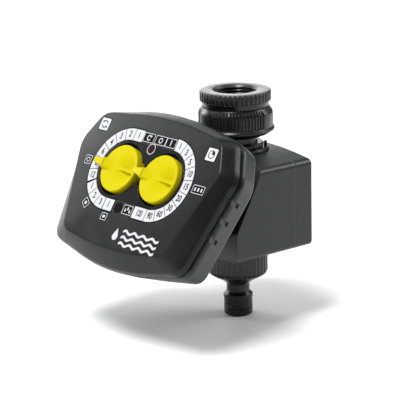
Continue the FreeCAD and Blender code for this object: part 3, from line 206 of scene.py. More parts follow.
MATERIALS = {
    # The connectors' material paints a highlight onto the top face of the inlet.
    "connector_black": surface("connector_black", (0.007, 0.007, 0.008), 0.26, grain=0.5, depth=0.008,
                               edge=0.35, top_highlight=True, Specular_IOR_Level=0.32, Coat_Weight=0.1,
                               Coat_Roughness=0.2),
    "housing_grey": surface("housing_grey", (0.012, 0.013, 0.0125), 0.31, grain=0.30, depth=0.012,
                            edge=0.8, Specular_IOR_Level=0.36),
    "panel_grey": surface("panel_grey", (0.007, 0.0075, 0.0075), 0.31, grain=0.45, depth=0.035, edge=0.3,
                          mottle=0.07, Specular_IOR_Level=0.26),
    "well_black": surface("well_black", (0.004, 0.004, 0.005), 0.20, grain=0.8, depth=0.003, edge=0.4,
                          Specular_IOR_Level=0.35),
    "dial_yellow": surface("dial_yellow", (0.485, 0.415, 0.002), 0.42, grain=0.5, depth=0.006, edge=0.35,
                           mottle=0.03, wear=0.05, Specular_IOR_Level=0.03),
    "rubber_black": surface("rubber_black", (0.015, 0.015, 0.015), 0.6, grain=0.2, depth=0.01),
    "screw_steel": surface("screw_steel", (0.55, 0.55, 0.56), 0.35, grain=0.2, depth=0.01, metal=1.0),
    "spring_steel": surface("spring_steel", (0.5, 0.5, 0.52), 0.3, grain=0.2, depth=0.006, metal=1.0),
    "contact_brass": surface("contact_brass", (0.72, 0.55, 0.22), 0.3, grain=0.2, depth=0.006, metal=1.0),
    "valve_plastic": surface("valve_plastic", (0.03, 0.03, 0.032), 0.5, grain=0.3, depth=0.02),
    "strainer_white": surface("strainer_white", (0.7, 0.7, 0.68), 0.6, grain=0.25, depth=0.08),
    "coil_copper": surface("coil_copper", (0.25, 0.06, 0.02), 0.3, grain=0.3, depth=0.03),
    "board_green": surface("board_green", (0.02, 0.14, 0.05), 0.3, grain=0.6, depth=0.01),
    "chip_black": surface("chip_black", (0.02, 0.02, 0.022), 0.5, grain=0.2, depth=0.01),
    "lens_clear": surface("lens_clear", (0.035, 0.004, 0.003), 0.12, grain=0.8, depth=0.002, edge=0.15),
    "led_white": surface("led_white", (0.75, 0.75, 0.72), 0.4, grain=0.3, depth=0.005),
    "battery_case": surface("battery_case", (0.10, 0.11, 0.12), 0.35, grain=0.4, depth=0.004, metal=0.4),
}
INK_WHITE = print_surface("ink_white", (0.52, 0.52, 0.54))
INK_BLACK = print_surface("ink_black", (0.003, 0.003, 0.003))
INK_GREY = print_surface("ink_grey", (0.012, 0.012, 0.014))


def dress_cad_nodes():
    """Give every CAD node the material of its slot in the record."""
    for entry in frame["record"]["subparts"]:
        data = frame["nodes"][entry["node"]].data
        data.materials.clear()
        data.materials.append(MATERIALS[entry["material_slot"]])


# ---------------------------------------------------------------- mesh helpers

MERGE_DISTANCE = 1e-7


def add_piece(name, verts, faces, material, body, nodes=(), sharp=40):
    """A mesh in the row frame that rides on a body, shaded smooth except over corners of sharp degrees."""
    mesh = bpy.data.meshes.new(name)
    mesh.from_pydata([tuple(vert) for vert in verts], [], faces)
    shape = bmesh.new()
    shape.from_mesh(mesh)
    bmesh.ops.remove_doubles(shape, verts=shape.verts, dist=MERGE_DISTANCE)
    bmesh.ops.recalc_face_normals(shape, faces=shape.faces)
    shape.to_mesh(mesh)
    shape.free()
    mesh.polygons.foreach_set("use_smooth", [True] * len(mesh.polygons))
    mesh.set_sharp_from_angle(angle=math.radians(sharp))
    mesh.materials.append(material)
    piece = bpy.data.objects.new(name, mesh)
    bpy.context.scene.collection.objects.link(piece)
    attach(piece, body)
    if nodes:
        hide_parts(*nodes)
    return piece


def band_faces(rows, columns, closed):
    """Quads between successive rows of points that each run all the way round."""
    faces = []
    for row in range(rows if closed else rows - 1):
        after = (row + 1) % rows
        for column in range(columns):
            beside = (column + 1) % columns
            faces.append((row * columns + column, row * columns + beside,
                          after * columns + beside, after * columns + column))
    return faces


def smoothstep(low, high, value):
    """0 up to low, 1 from high on, and an even curve between them."""
    share = max(0.0, min(1.0, (value - low) / (high - low)))
    return share * share * (3 - 2 * share)


def soften(profile, size):
    """A closed (radius, height, wave) profile whose corners are rounded over a distance.

    A corner takes less than half of each of its edges, so that neighbours never meet."""
    longest = 0.45
    soft = []
    count = len(profile)
    for index, (radius, height, wave) in enumerate(profile):
        here = Vector((radius, height))
        sides = []
        for other in (profile[index - 1], profile[(index + 1) % count]):
            there = Vector(other[:2])
            reach = min(size, (there - here).length * longest)
            sides.append(here + (there - here).normalized() * reach)
        for share in (0.0, 0.5, 1.0):
            spot = sides[0] * (1 - share) ** 2 + here * 2 * share * (1 - share) + sides[1] * share ** 2
            soft.append((spot.x, spot.y, wave))
    return soft


def turned(profile, steps):
    """Vertices and faces of a closed profile turned about the water axis.

    A profile point's wave gives how far its radius moves at an angle and a height."""
    verts = []
    for radius, height, wave in profile:
        for step in range(steps):
            angle = 2 * math.pi * step / steps
            reach = radius + (wave(angle, height) if wave else 0.0)
            verts.append((reach * math.cos(angle), reach * math.sin(angle), height))
    return verts, band_faces(len(profile), steps, closed=True)


def ribs(count, depth, crest=0.5, blend=0.18):
    """A wave of upright ribs: 0 on each rib's crest and -depth between the ribs."""
    def wave(angle, height):
        phase = (angle * count / (2 * math.pi)) % 1.0
        away = abs(phase - 0.5) * 2
        return -depth * smoothstep(crest - blend, crest + blend, away)
    return wave


def cad_radius(node):
    """The greatest distance of a CAD node's vertices from the water axis."""
    return max(math.hypot(vert.co.x, vert.co.y) for vert in frame["nodes"][node].data.vertices)


# ---------------------------------------------------------------- water connectors

def thread_reducer():
    """Ribbed ring with an inside thread; its top face catches the light, and its material paints a highlight
    there.
    """
    low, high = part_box("thread_reducer")
    radius = cad_radius("thread_reducer")
    thread_crest = frame["record"]["mounts"][0]["dims"]["r_mm"] * MM
    flange = radius - 1.35 * MM
    stem = radius - 5.55 * MM
    ledge = thread_crest - 3.46 * MM
    ring_low = high.z - 6.2 * MM
    flange_low = high.z - 9.1 * MM
    thread_low = -10.0 * MM
    pitch = 1.814 * MM
    thread_depth = 1.05 * MM
    rib_count = 44
    rib = ribs(rib_count, 0.62 * MM, crest=0.52)
    body = soften([
        (thread_crest + 1.1 * MM, high.z, None), (radius - 0.6 * MM, high.z, None),
        (radius, high.z - 0.7 * MM, rib), (radius, ring_low + 0.3 * MM, rib),
        (radius - 0.5 * MM, ring_low, None), (flange, ring_low, None),
        (flange, flange_low, None), (stem, flange_low, None), (stem, low.z, None), (ledge, low.z, None),
        (ledge, thread_low - 2 * MM, None), (thread_crest + 0.5 * MM, thread_low - 2 * MM, None),
        (thread_crest + 0.5 * MM, thread_low, None)], 0.25 * MM)

    def groove(angle, height):
        turn = (height / pitch + angle / (2 * math.pi)) % 1.0
        fade = smoothstep(thread_low, thread_low + pitch / 2, height)
        return fade * thread_depth * (1 - abs(2 * turn - 1))

    rows_per_pitch = 8
    rows = int(-thread_low / pitch * rows_per_pitch)
    thread = [(thread_crest, thread_low + pitch / rows_per_pitch * row, groove) for row in range(rows + 1)]
    steps_per_rib = 12
    verts, faces = turned(body + thread, rib_count * steps_per_rib)
    add_piece("reducer_ring", verts, faces, MATERIALS["connector_black"], "inlet_nut", ["thread_reducer"],
              sharp=50)


def inlet_union_nut():
    """Union nut with groups of fine ribs between smooth raised pads, and a lip at its foot."""
    low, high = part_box("inlet_union_nut")
    lip = cad_radius("inlet_union_nut")
    radius = lip - 0.76 * MM
    bore = radius - 6.4 * MM
    hole = radius - 8.7 * MM
    fine = ribs(66, 0.75 * MM, crest=0.45, blend=0.2)
    pad_count = 3
    pad_start = math.radians(9)
    pad_wide = math.radians(24)
    pad_slope = math.radians(0.9)
    pad_raise = 0.25 * MM
    wide_rib = math.radians(-52)
    wide_rib_half = math.radians(1.8)
    wide_rib_foot = math.radians(2.6)
    steps = 1080

    def grip(angle, height):
        """0 on a pad, and between the pads the fine ribs with one wide rib among them."""
        period = 2 * math.pi / pad_count
        along = (angle - pad_start) % period
        past_pad = min(period - along, along - pad_wide) if along > pad_wide else 0.0
        lowered = smoothstep(0.0, pad_slope, past_pad)
        from_wide_rib = abs((angle - wide_rib + math.pi) % (2 * math.pi) - math.pi)
        ribbed = smoothstep(wide_rib_half, wide_rib_foot, from_wide_rib)
        return lowered * (-pad_raise + fine(angle, height) * ribbed)

    profile = soften([
        (bore, high.z, None), (radius - 2.1 * MM, high.z, None),
        (radius - 1.9 * MM, high.z - 0.6 * MM, None), (radius - 0.5 * MM, high.z - 2.4 * MM, grip),
        (radius, high.z - 3.6 * MM, grip),
        (radius, low.z + 6.1 * MM, grip), (radius - 0.3 * MM, low.z + 5.6 * MM, None),
        (lip, low.z + 4.8 * MM, None), (lip, low.z + 3.7 * MM, None),
        (radius - 1.6 * MM, low.z + 2 * MM, None), (hole + 2.2 * MM, low.z, None),
        (hole, low.z, None), (hole, low.z + 3.2 * MM, None), (bore, low.z + 3.2 * MM, None)], 0.25 * MM)
    verts, faces = turned(profile, steps)
    add_piece("union_nut", verts, faces, MATERIALS["connector_black"], "inlet_nut", ["inlet_union_nut"],
              sharp=50)


def outlet_union_nut():
    """Smaller union nut under the housing, with flat-topped ribs that end on its lower chamfer."""
    low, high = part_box("outlet_union_nut")
    radius = cad_radius("outlet_union_nut")
    bore = radius - 4.27 * MM
    hole = radius - 6.77 * MM
    ledge = low.z + 7.7 * MM
    rib_count = 36
    rib = ribs(rib_count, 0.6 * MM)
    profile = soften([
        (bore, high.z, None), (radius - 0.9 * MM, high.z, None), (radius, high.z - 0.8 * MM, rib),
        (radius, low.z + 4.8 * MM, rib), (radius - 0.7 * MM, low.z + 3.1 * MM, rib),
        (radius - 2.4 * MM, low.z + 2.0 * MM, None), (radius - 3.6 * MM, low.z + 1.2 * MM, None),
        (hole + 0.8 * MM, low.z, None), (hole, low.z, None), (hole, ledge, None),
        (bore, ledge, None)], 0.3 * MM)
    steps_per_rib = 14
    verts, faces = turned(profile, rib_count * steps_per_rib)
    add_piece("outlet_nut", verts, faces, MATERIALS["connector_black"], "outlet_nut", ["outlet_union_nut"],
              sharp=50)


# ---------------------------------------------------------------- control head

class Section:
    """Reads a CAD node's outer surface round the panel's middle, in the panel's own frame."""

    def __init__(self, node):
        data = frame["nodes"][node].data
        back = panel.inverted()
        corners = [back @ vert.co for vert in data.vertices]
        self.tree = BVHTree.FromPolygons(corners, [tuple(face.vertices) for face in data.polygons])

    def reach(self, angle, height):
        """How far out the surface lies in a direction across the panel, at a height."""
        well_outside = 200 * MM
        outward = Vector((math.cos(angle), math.sin(angle), 0))
        start = outward * well_outside + Vector((0, 0, height))
        hit = self.tree.ray_cast(start, -outward)[0]
        return Vector((hit.x, hit.y)).length


SEAM_TOP = -9.7 * MM
SEAM_FOOT = -10.8 * MM
SEAM_DEPTH = 0.5 * MM


def shell_angles():
    """Directions round the panel: even steps, and finer ones where the grip grooves are."""
    steps = 480
    lowest_sine = -0.42
    highest_sine = 0.06
    angles = []
    for step in range(steps):
        here = 2 * math.pi * step / steps
        angles.append(here)
        if lowest_sine < math.sin(here) < highest_sine:
            angles += [here + 2 * math.pi / steps * part / 3 for part in (1, 2)]
    return angles


def head_front_shell():
    """The flat panel round the dial well, its wide bevel with rounded edges, and the side band."""
    section = Section("head_front_shell")
    well = Section("dial_well")
    flat_round = 0.09
    bevel_middle = 0.45
    rim_start = 0.86
    panel_wall = 2.4 * MM
    side_wall = 2.8 * MM
    well_gap = 0.1 * MM
    well_edge = 0.15 * MM
    rim = -6.2 * MM
    rim_round = 1.1 * MM
    angles = shell_angles()
    skin = 0.02 * MM

    def ring(height):
        return [section.reach(angle, height) for angle in angles]

    flat_edge = ring(-skin)
    rim_edge = ring(rim)
    opening = [well.reach(angle, -skin) + well_gap for angle in angles]
    rows = [(opening, -well_edge), ([reach + well_edge for reach in opening], 0.0),
            ([reach - 0.6 * MM for reach in flat_edge], 0.0)]

    def between(first, second, share):
        """The row at a share of the way from one row to another."""
        reaches = [a + (b - a) * share for a, b in zip(first[0], second[0])]
        return reaches, first[1] + (second[1] - first[1]) * share

    def corner(before, at, after):
        """Rows that round the corner at a row."""
        for share in (0.15, 0.4, 0.6, 0.85):
            near = between(before, at, share)
            far = between(at, after, share)
            rows.append(between(near, far, share))

    flat_row = (flat_edge, 0.0)
    rim_row = (rim_edge, rim)
    band_top = (ring(rim - rim_round), rim - rim_round)
    corner(rows[-1], flat_row, between(flat_row, rim_row, flat_round))
    rows.append(between(flat_row, rim_row, bevel_middle))
    corner(between(flat_row, rim_row, rim_start), rim_row, band_top)
    for above_seam in (1.5 * MM, 1.1 * MM, 0.7 * MM, 0.05 * MM):
        rows.append((ring(SEAM_TOP + above_seam), SEAM_TOP + above_seam))
    groove = [reach - SEAM_DEPTH for reach in rows[-1][0]]
    rows += [(groove, SEAM_TOP), (groove, SEAM_FOOT)]
    rows.append(([reach - side_wall for reach in rim_edge], SEAM_FOOT))
    rows.append(([reach - side_wall for reach in flat_edge], -panel_wall))
    rows.append((opening, -panel_wall))
    verts = []
    for reaches, height in rows:
        for reach, angle in zip(reaches, angles):
            verts.append(panel @ Vector((reach * math.cos(angle), reach * math.sin(angle), height)))
    faces = band_faces(len(rows), len(angles), closed=True)
    add_piece("front_shell", verts, faces, MATERIALS["panel_grey"], "control_head", ["head_front_shell"],
              sharp=30)
    # A black strip paints the shadow in the seam's groove.
    seam_shadow_strip(angles, groove)


def seam_shadow_strip(angles, groove):
    """A black strip in the seam between the shells, a painted shadow for the shade in the groove: a flat bead
    that fills most of the groove.
    """
    middle = (SEAM_TOP + SEAM_FOOT) / 2
    root = 0.05 * MM
    shoulder = 0.36 * MM
    crest = 0.4 * MM
    heel = -0.2 * MM
    rows = ((root, SEAM_TOP - 0.04 * MM), (shoulder, SEAM_TOP - 0.1 * MM), (crest, middle),
            (shoulder, SEAM_FOOT + 0.1 * MM), (root, SEAM_FOOT + 0.04 * MM), (heel, middle))
    verts = []
    for grow, height in rows:
        for reach, angle in zip(groove, angles):
            far = reach + grow
            verts.append(panel @ Vector((far * math.cos(angle), far * math.sin(angle), height)))
    # Black ink, a painted shadow in the groove.
    add_piece("seam_shadow_strip", verts, band_faces(len(rows), len(angles), closed=True), INK_BLACK, "control_head")


# The knobs: a pointer is turned above level, its half width narrows to the tip, and it rises over the disc.
POINTER_TURN = math.radians(3)
POINTER_HALF = 2.6 * MM
POINTER_TIP_HALF = 1.6 * MM
RIDGE_TAIL_HALF = 0.55 * MM
SCOOP_DEPTH = 2.4 * MM
SCOOP_MARGIN = 1.1 * MM
RIDGE_SIDE = 1.1 * MM
POINTER_RISE = 2.7 * MM


def knob_height(x, y, radius, top, crest):
    """Height of a knob's top at a point, with its pointer towards -x.

    Two scoops fall away beside a ridge that narrows towards the tail and rises to the pointer."""
    share = smoothstep(-0.2 * radius, 0.6 * radius, x)
    ridge_half = POINTER_HALF + (RIDGE_TAIL_HALF - POINTER_HALF) * smoothstep(-radius, 0.4 * radius, x)
    ridge_top = top + (crest - top) * smoothstep(0.42, 1.02, -x / radius)
    away = max(0.0, abs(y) - ridge_half)
    inside = smoothstep(0.0, 0.16 * radius, radius - SCOOP_MARGIN - math.hypot(x, y))
    scoop = SCOOP_DEPTH * share * inside * (1 - smoothstep(0.0, 0.7 * radius, away))
    blend = smoothstep(0.0, RIDGE_SIDE, away)
    return ridge_top * (1 - blend) + (top - scoop) * blend


def knob(name, node, centre):
    """A dial disc with a rounded rim, the ridge between its scoops, and a pointer over the scale."""
    seat = panel @ Matrix.Translation((centre, 0, 0)) @ Matrix.Rotation(-POINTER_TURN, 4, "Z")
    back = seat.inverted()
    points = [back @ vert.co for vert in frame["nodes"][node].data.vertices]
    crest = max(point.z for point in points)
    bottom = min(point.z for point in points)
    radius = max(point.x for point in points)
    tip = min(point.x for point in points)
    top = crest - POINTER_RISE
    steps = 288
    rim = 0.55 * MM
    rings = 72
    verts = []
    rows = [((radius - rim) * index / rings, 0.0) for index in range(1, rings + 1)]
    for turn in map(math.radians, (25, 50, 70, 90)):
        rows.append((radius - rim + rim * math.sin(turn), rim * (1 - math.cos(turn))))
    for distance, drop in rows:
        for step in range(steps):
            angle = 2 * math.pi * step / steps
            x = distance * math.cos(angle)
            y = distance * math.sin(angle)
            verts.append(Vector((x, y, knob_height(x, y, radius, top, crest) - drop)))
    for step in range(steps):
        angle = 2 * math.pi * step / steps
        verts.append(Vector((radius * math.cos(angle), radius * math.sin(angle), bottom)))
    faces = band_faces(len(rows) + 1, steps, closed=False)
    faces.append(tuple(range(steps))[::-1])
    faces.append(tuple(len(rows) * steps + step for step in range(steps)))
    start = len(verts)
    edge = 0.35 * MM
    pointer_side = 1.6 * MM
    root = -0.86 * radius
    outline = [(root, POINTER_HALF), (tip + 2 * edge, POINTER_TIP_HALF), (tip, POINTER_TIP_HALF - 2 * edge),
               (tip, 2 * edge - POINTER_TIP_HALF), (tip + 2 * edge, -POINTER_TIP_HALF), (root, -POINTER_HALF)]
    inner = [(x + (edge if x < root else 0), y - math.copysign(edge, y)) for x, y in outline]
    for spots, height in ((outline, crest - pointer_side), (outline, crest - edge), (inner, crest)):
        verts += [Vector((x, y, height)) for x, y in spots]
    count = len(outline)
    for face in band_faces(3, count, closed=False):
        faces.append(tuple(start + index for index in face))
    faces.append(tuple(start + index for index in range(count))[::-1])
    faces.append(tuple(start + 2 * count + index for index in range(count)))
    add_piece(name, [seat @ vert for vert in verts], faces, MATERIALS["dial_yellow"],
              node.replace("knob", "dial"), [node], sharp=40)


# ---------------------------------------------------------------- printing on the panel

# The scales: two white bands round the dials, in cells of one angle in degrees. The left one has a gap.
BAND_INNER = 18.0 * MM
BAND_OUTER = 24.9 * MM
BAND_MIDDLE = (BAND_INNER + BAND_OUTER) / 2
BAND_SPREAD = dial_spread + 0.7 * MM
CELL_ANGLE = 20
LEFT_GAP_ANGLE = 210
LEFT_LINES = 9
RIGHT_LINES = 10
OUTLINE = 0.35 * MM
CELL_LINE = 0.38 * MM
INK_THICKNESS = 0.03 * MM
TAG_HIGH = 5.6 * MM
MARK_LINE = 0.6 * MM
NUMERAL_SIZE = 5.1 * MM
NUMERAL_FATTENING = 0.13 * MM
NUMERAL_WIDTHS = {1: 0.80, 2: 0.80, 3: 0.66}
LEVELS = {"black": 0.02 * MM, "white": 0.05 * MM, "detail": 0.08 * MM}


class Print:
    """Flat outlines gathered into one thin raised print of a single ink."""

    def __init__(self, name, material, level):
        self.name = name
        self.material = material
        self.level = level
        self.verts = []
        self.faces = []

    def add(self, outline):
        """Print the inside of a closed outline."""
        start = len(self.verts)
        count = len(outline)
        for height in (self.level, self.level + INK_THICKNESS):
            self.verts += [panel @ Vector((x, u, height)) for x, u in outline]
        self.faces += [tuple(start + index for index in face) for face in band_faces(2, count, closed=False)]
        self.faces.append(tuple(start + index for index in range(count))[::-1])
        self.faces.append(tuple(start + count + index for index in range(count)))

    def strip(self, first, second):
        """A band between two lines of points, as quads so that it may curve."""
        for index in range(len(first) - 1):
            self.add([first[index], first[index + 1], second[index + 1], second[index]])

    def finish(self):
        """Make the print a piece of the control head."""
        add_piece(self.name, self.verts, self.faces, self.material, "control_head", sharp=20)


def arc(centre, radius, start, end, steps=None):
    """Points of an arc in degrees round a centre on the panel."""
    steps = steps or max(2, int(abs(end - start) / 3))
    turns = [math.radians(start + (end - start) * step / steps) for step in range(steps + 1)]
    return [(centre[0] + radius * math.cos(turn), centre[1] + radius * math.sin(turn)) for turn in turns]


def rectangle(x, u, wide, high, corner=0.6 * MM, lean=0.0):
    """A rectangle with rounded corners round its middle, turned by an angle in degrees."""
    spots = []
    for across, up, start in ((1, 1, 0), (-1, 1, 90), (-1, -1, 180), (1, -1, 270)):
        centre = (across * (wide / 2 - corner), up * (high / 2 - corner))
        spots += arc(centre, corner, start, start + 90, 4)
    turn = math.radians(lean)
    return [(x + a * math.cos(turn) - b * math.sin(turn), u + a * math.sin(turn) + b * math.cos(turn))
            for a, b in spots]


def drop_outline(x, u, size):
    """A water drop with its point up."""
    point_up = size * 2.3
    round_part = arc((0, 0), size, 150, 390, 14)
    return [(x + a, u + b) for a, b in round_part] + [(x, u + point_up)]


def frame_lines(ink, outline, inner):
    """A closed line between two outlines with as many points."""
    ink.strip(outline + outline[:1], inner + inner[:1])


def band_cell(ink, side, start, end, grow=0.0):
    """A cell of the curved part of a scale, between two angles round its dial."""
    centre = (side * BAND_SPREAD, 0)
    steps = 8
    ink.strip(arc(centre, BAND_INNER - grow, start, end, steps),
              arc(centre, BAND_OUTER + grow, start, end, steps))


def straight_cell(ink, side, top, length, grow=0.0):
    """The cell of a scale that runs on straight from a dial's top or foot towards the middle."""
    start = side * BAND_SPREAD
    end = start - side * (length + grow)
    levels = sorted((top * (BAND_INNER - grow), top * (BAND_OUTER + grow)))
    ink.add([(start, levels[0]), (end, levels[0]), (end, levels[1]), (start, levels[1])])


def cell_line(ink, side, angle):
    """A line across the band between two cells, at an angle in degrees round its dial."""
    turn = math.radians(angle)
    out = Vector((math.cos(turn), math.sin(turn)))
    across = Vector((-out.y, out.x)) * CELL_LINE / 2
    centre = Vector((side * BAND_SPREAD, 0))
    near = centre + out * BAND_INNER
    far = centre + out * BAND_OUTER
    ink.add([tuple(near - across), tuple(far - across), tuple(far + across), tuple(near + across)])


def numeral(text, x, u):
    """Mesh of a number as a thin print on the panel, centred at a point."""
    curve = bpy.data.curves.new("numeral", "FONT")
    curve.body = text
    curve.size = NUMERAL_SIZE
    curve.align_x = "CENTER"
    curve.align_y = "CENTER"
    curve.offset = NUMERAL_FATTENING
    curve.extrude = 0.012 * MM
    holder = bpy.data.objects.new("numeral", curve)
    bpy.context.scene.collection.objects.link(holder)
    bpy.context.view_layer.update()
    mesh = bpy.data.meshes.new_from_object(holder.evaluated_get(bpy.context.evaluated_depsgraph_get()))
    squeeze = Matrix.Diagonal((NUMERAL_WIDTHS[len(text)], 1.0, 1.0, 1.0))
    mesh.transform(panel @ Matrix.Translation((x, u, LEVELS["detail"] + 0.02 * MM)) @ squeeze)
    bpy.data.objects.remove(holder)
    bpy.data.curves.remove(curve)
    return mesh


def numerals(name, labels):
    """All the numbers of both scales as one piece."""
    verts = []
    faces = []
    for text, x, u in labels:
        mesh = numeral(text, x, u)
        start = len(verts)
        verts += [vert.co.copy() for vert in mesh.vertices]
        faces += [tuple(start + index for index in face.vertices) for face in mesh.polygons]
        bpy.data.meshes.remove(mesh)
    add_piece(name, verts, faces, INK_GREY, "control_head", sharp=20)


def on_band(side, angle):
    """The middle of the band at an angle in degrees round its dial."""
    turn = math.radians(angle)
    return side * BAND_SPREAD + BAND_MIDDLE * math.cos(turn), BAND_MIDDLE * math.sin(turn)


def scales():
    """The white bands round both dials with their cells, lines and numbers."""
    black = Print("scale_edge", INK_BLACK, LEVELS["black"])
    white = Print("scale_band", INK_WHITE, LEVELS["white"])
    lines = Print("scale_lines", INK_BLACK, LEVELS["detail"])
    left = -1
    right = 1
    left_end = 7.6 * MM
    right_end = 10.5 * MM
    edge = 0.75 * MM
    for side, start, end in ((left, 90, 270), (right, 90, -90)):
        band_cell(black, side, start, (start + end) / 2, edge)
        band_cell(black, side, (start + end) / 2, end, edge)
    straight_cell(black, left, 1, left_end, edge)
    straight_cell(black, left, -1, left_end, edge)
    straight_cell(black, right, -1, right_end, edge)
    gap = 1.7
    parts = 4
    for start, end in ((90, LEFT_GAP_ANGLE - gap), (LEFT_GAP_ANGLE + gap, 270 - gap)):
        width = (end - start) / parts
        for part in range(parts):
            band_cell(white, left, start + width * part, start + width * (part + 1))
    width = 180 / parts
    for part in range(parts):
        band_cell(white, right, 90 - width * part, 90 - width * (part + 1))
    straight_cell(white, left, 1, left_end)
    straight_cell(white, right, -1, right_end)
    straight_cell(white, left, -1, left_end)
    for step in range(LEFT_LINES):
        if 90 + CELL_ANGLE * step != LEFT_GAP_ANGLE:
            cell_line(lines, left, 90 + CELL_ANGLE * step)
    for step in range(RIGHT_LINES):
        cell_line(lines, right, 90 - CELL_ANGLE * step)
    for ink in (black, white, lines):
        ink.finish()

    left_texts = ("2", "3", "4", "6", "8", "12", "1", "2", "3")
    right_texts = ("1", "3", "5", "10", "15", "20", "30", "60", "90")
    on_end = -BAND_SPREAD + left_end / 2
    labels = [("1", on_end, BAND_MIDDLE)]
    for step, text in enumerate(left_texts):
        labels.append((text, *on_band(left, 90 + CELL_ANGLE * (step + 0.5))))
    labels.append(("1", on_end, -BAND_MIDDLE))
    for step, text in enumerate(right_texts):
        labels.append((text, *on_band(right, 90 - CELL_ANGLE * (step + 0.5))))
    labels.append(("120", BAND_SPREAD - right_end / 2, -BAND_MIDDLE))
    numerals("scale_numbers", labels)


def tag(black, white, x, u, wide, high, lean=0.0):
    """A black box with a thin white outline."""
    black.add(rectangle(x, u, wide + 0.8 * MM, high + 0.8 * MM, 0.8 * MM, lean))
    frame_lines(white, rectangle(x, u, wide, high, 0.5 * MM, lean),
                rectangle(x, u, wide - 2 * OUTLINE, high - 2 * OUTLINE, 0.3 * MM, lean))


def ring_mark(ink, x, u, radius, thick, start=0, end=360):
    """A ring, or the part of one between two angles in degrees."""
    ink.strip(arc((x, u), radius, start, end, 20), arc((x, u), radius - thick, start, end, 20))


def upper_tags(black, white):
    """Three boxes above the lens: a turning arrow, a ring and a bar."""
    row = 21.6 * MM
    ring = 1.7 * MM
    arrow_x = -5.7 * MM
    ring_x = 4.6 * MM
    bar_x = 13.5 * MM
    for x, wide in ((arrow_x, 9.2 * MM), (ring_x, 9.2 * MM), (bar_x, 8.4 * MM)):
        tag(black, white, x, row, wide, TAG_HIGH)
    ring_mark(white, arrow_x, row, ring, MARK_LINE, 40, 330)
    white.add([(arrow_x + 0.5 * MM, row + 1.7 * MM), (arrow_x + 2.3 * MM, row + 1.5 * MM),
               (arrow_x + 1.3 * MM, row + 0.1 * MM)])
    ring_mark(white, ring_x, row, ring, MARK_LINE)
    white.add(rectangle(bar_x, row, 0.7 * MM, 3.4 * MM, 0.2 * MM))


def lens_rings(black, white):
    """A white ring round the lens, on a wider black one."""
    lens_up = 15.6 * MM
    ring_mark(white, 0, lens_up, 3.3 * MM, 0.45 * MM)
    ring_mark(black, 0, lens_up, 3.8 * MM, 1.4 * MM)


def lower_tags(black, white, detail):
    """Between the dials' feet: a round mark, and a box with three drops."""
    round_mark = (-5.4 * MM, -21.6 * MM)
    drop = 0.7 * MM
    black.add(arc(round_mark, 3.4 * MM, 0, 350, 35))
    ring_mark(detail, *round_mark, 2.5 * MM, 0.3 * MM)
    tag(black, white, 2.7 * MM, -21.4 * MM, 8.0 * MM, TAG_HIGH)
    for x, u in ((0.9 * MM, -22.0 * MM), (2.9 * MM, -20.9 * MM), (4.7 * MM, -22.3 * MM)):
        white.add(drop_outline(x, u, drop))


def outer_tags(black, white):
    """Four boxes outside the scales: with a ring, a dot, a bar, and three small bars."""
    ring_tag = (-47.6 * MM, 0.6 * MM)
    dot_tag = (-33.6 * MM, -24.0 * MM)
    bar_tag = (-14.0 * MM, -28.6 * MM)
    bars_tag = (50.0 * MM, 0.2 * MM)
    bar_step = 2.6 * MM
    tag(black, white, *ring_tag, 5.4 * MM, 5.4 * MM)
    tag(black, white, *dot_tag, 5.4 * MM, 4.6 * MM, lean=-38)
    tag(black, white, *bar_tag, 5.0 * MM, 4.4 * MM)
    tag(black, white, *bars_tag, 9.6 * MM, 5.0 * MM)
    ring_mark(white, *ring_tag, 1.5 * MM, 0.45 * MM)
    white.add(arc(dot_tag, 1.1 * MM, 0, 345, 20))
    white.add(rectangle(*bar_tag, 2.2 * MM, 1.6 * MM, 0.2 * MM))
    for place in (-1, 0, 1):
        white.add(rectangle(bars_tag[0] + place * bar_step, bars_tag[1], 1.1 * MM, 2.2 * MM, 0.3 * MM))


def icons(black, white, detail):
    """Two white cards: a clock face with a filled quarter, and two arrows chasing each other."""
    clock = (48.4 * MM, 21.0 * MM)
    loop = (-46.9 * MM, 23.2 * MM)
    for card in (clock, loop):
        black.add(rectangle(*card, 9.0 * MM, 8.6 * MM, 1.2 * MM))
        white.add(rectangle(*card, 7.8 * MM, 7.4 * MM, 0.8 * MM))
    ring_mark(detail, *clock, 2.5 * MM, 0.5 * MM)
    detail.add([clock] + arc(clock, 2.0 * MM, 0, 90, 8))
    for turn in (0, 180):
        ring_mark(detail, *loop, 2.4 * MM, MARK_LINE, 20 + turn, 140 + turn)
        tip = math.radians(165 + turn)
        out = Vector((math.cos(tip), math.sin(tip)))
        along = Vector((-math.sin(tip), math.cos(tip)))
        point = Vector(loop) + out * 2.1 * MM
        back = point - along * 1.4 * MM
        half_wide = out * 1.0 * MM
        detail.add([tuple(point), tuple(back + half_wide), tuple(back - half_wide)])


def waves(white):
    """A drop and three wave lines."""
    white.add(drop_outline(1.9 * MM, -37.6 * MM, 2.2 * MM))
    start = 7.0 * MM
    length = 30.6 * MM
    swing = 0.75 * MM
    half_line = 0.75 * MM
    wave_count = 4
    steps_per_wave = 15
    steps = wave_count * steps_per_wave
    for level in (-33.6 * MM, -37.2 * MM, -40.8 * MM):
        lower = []
        upper = []
        for step in range(steps + 1):
            x = start + length * step / steps
            u = level + swing * math.sin(2 * math.pi * step / steps_per_wave)
            lower.append((x, u - half_line))
            upper.append((x, u + half_line))
        white.strip(lower, upper)


def tags_and_marks():
    """Boxes and small pictures round the scales, and a plain water mark in place of any name."""
    black = Print("tag_boxes", INK_BLACK, LEVELS["black"])
    white = Print("tag_marks", INK_WHITE, LEVELS["white"])
    detail = Print("icon_marks", INK_BLACK, LEVELS["detail"])
    upper_tags(black, white)
    lens_rings(black, white)
    lower_tags(black, white, detail)
    outer_tags(black, white)
    icons(black, white, detail)
    waves(white)
    for ink in (black, white, detail):
        ink.finish()


# ---------------------------------------------------------------- floor, light and camera

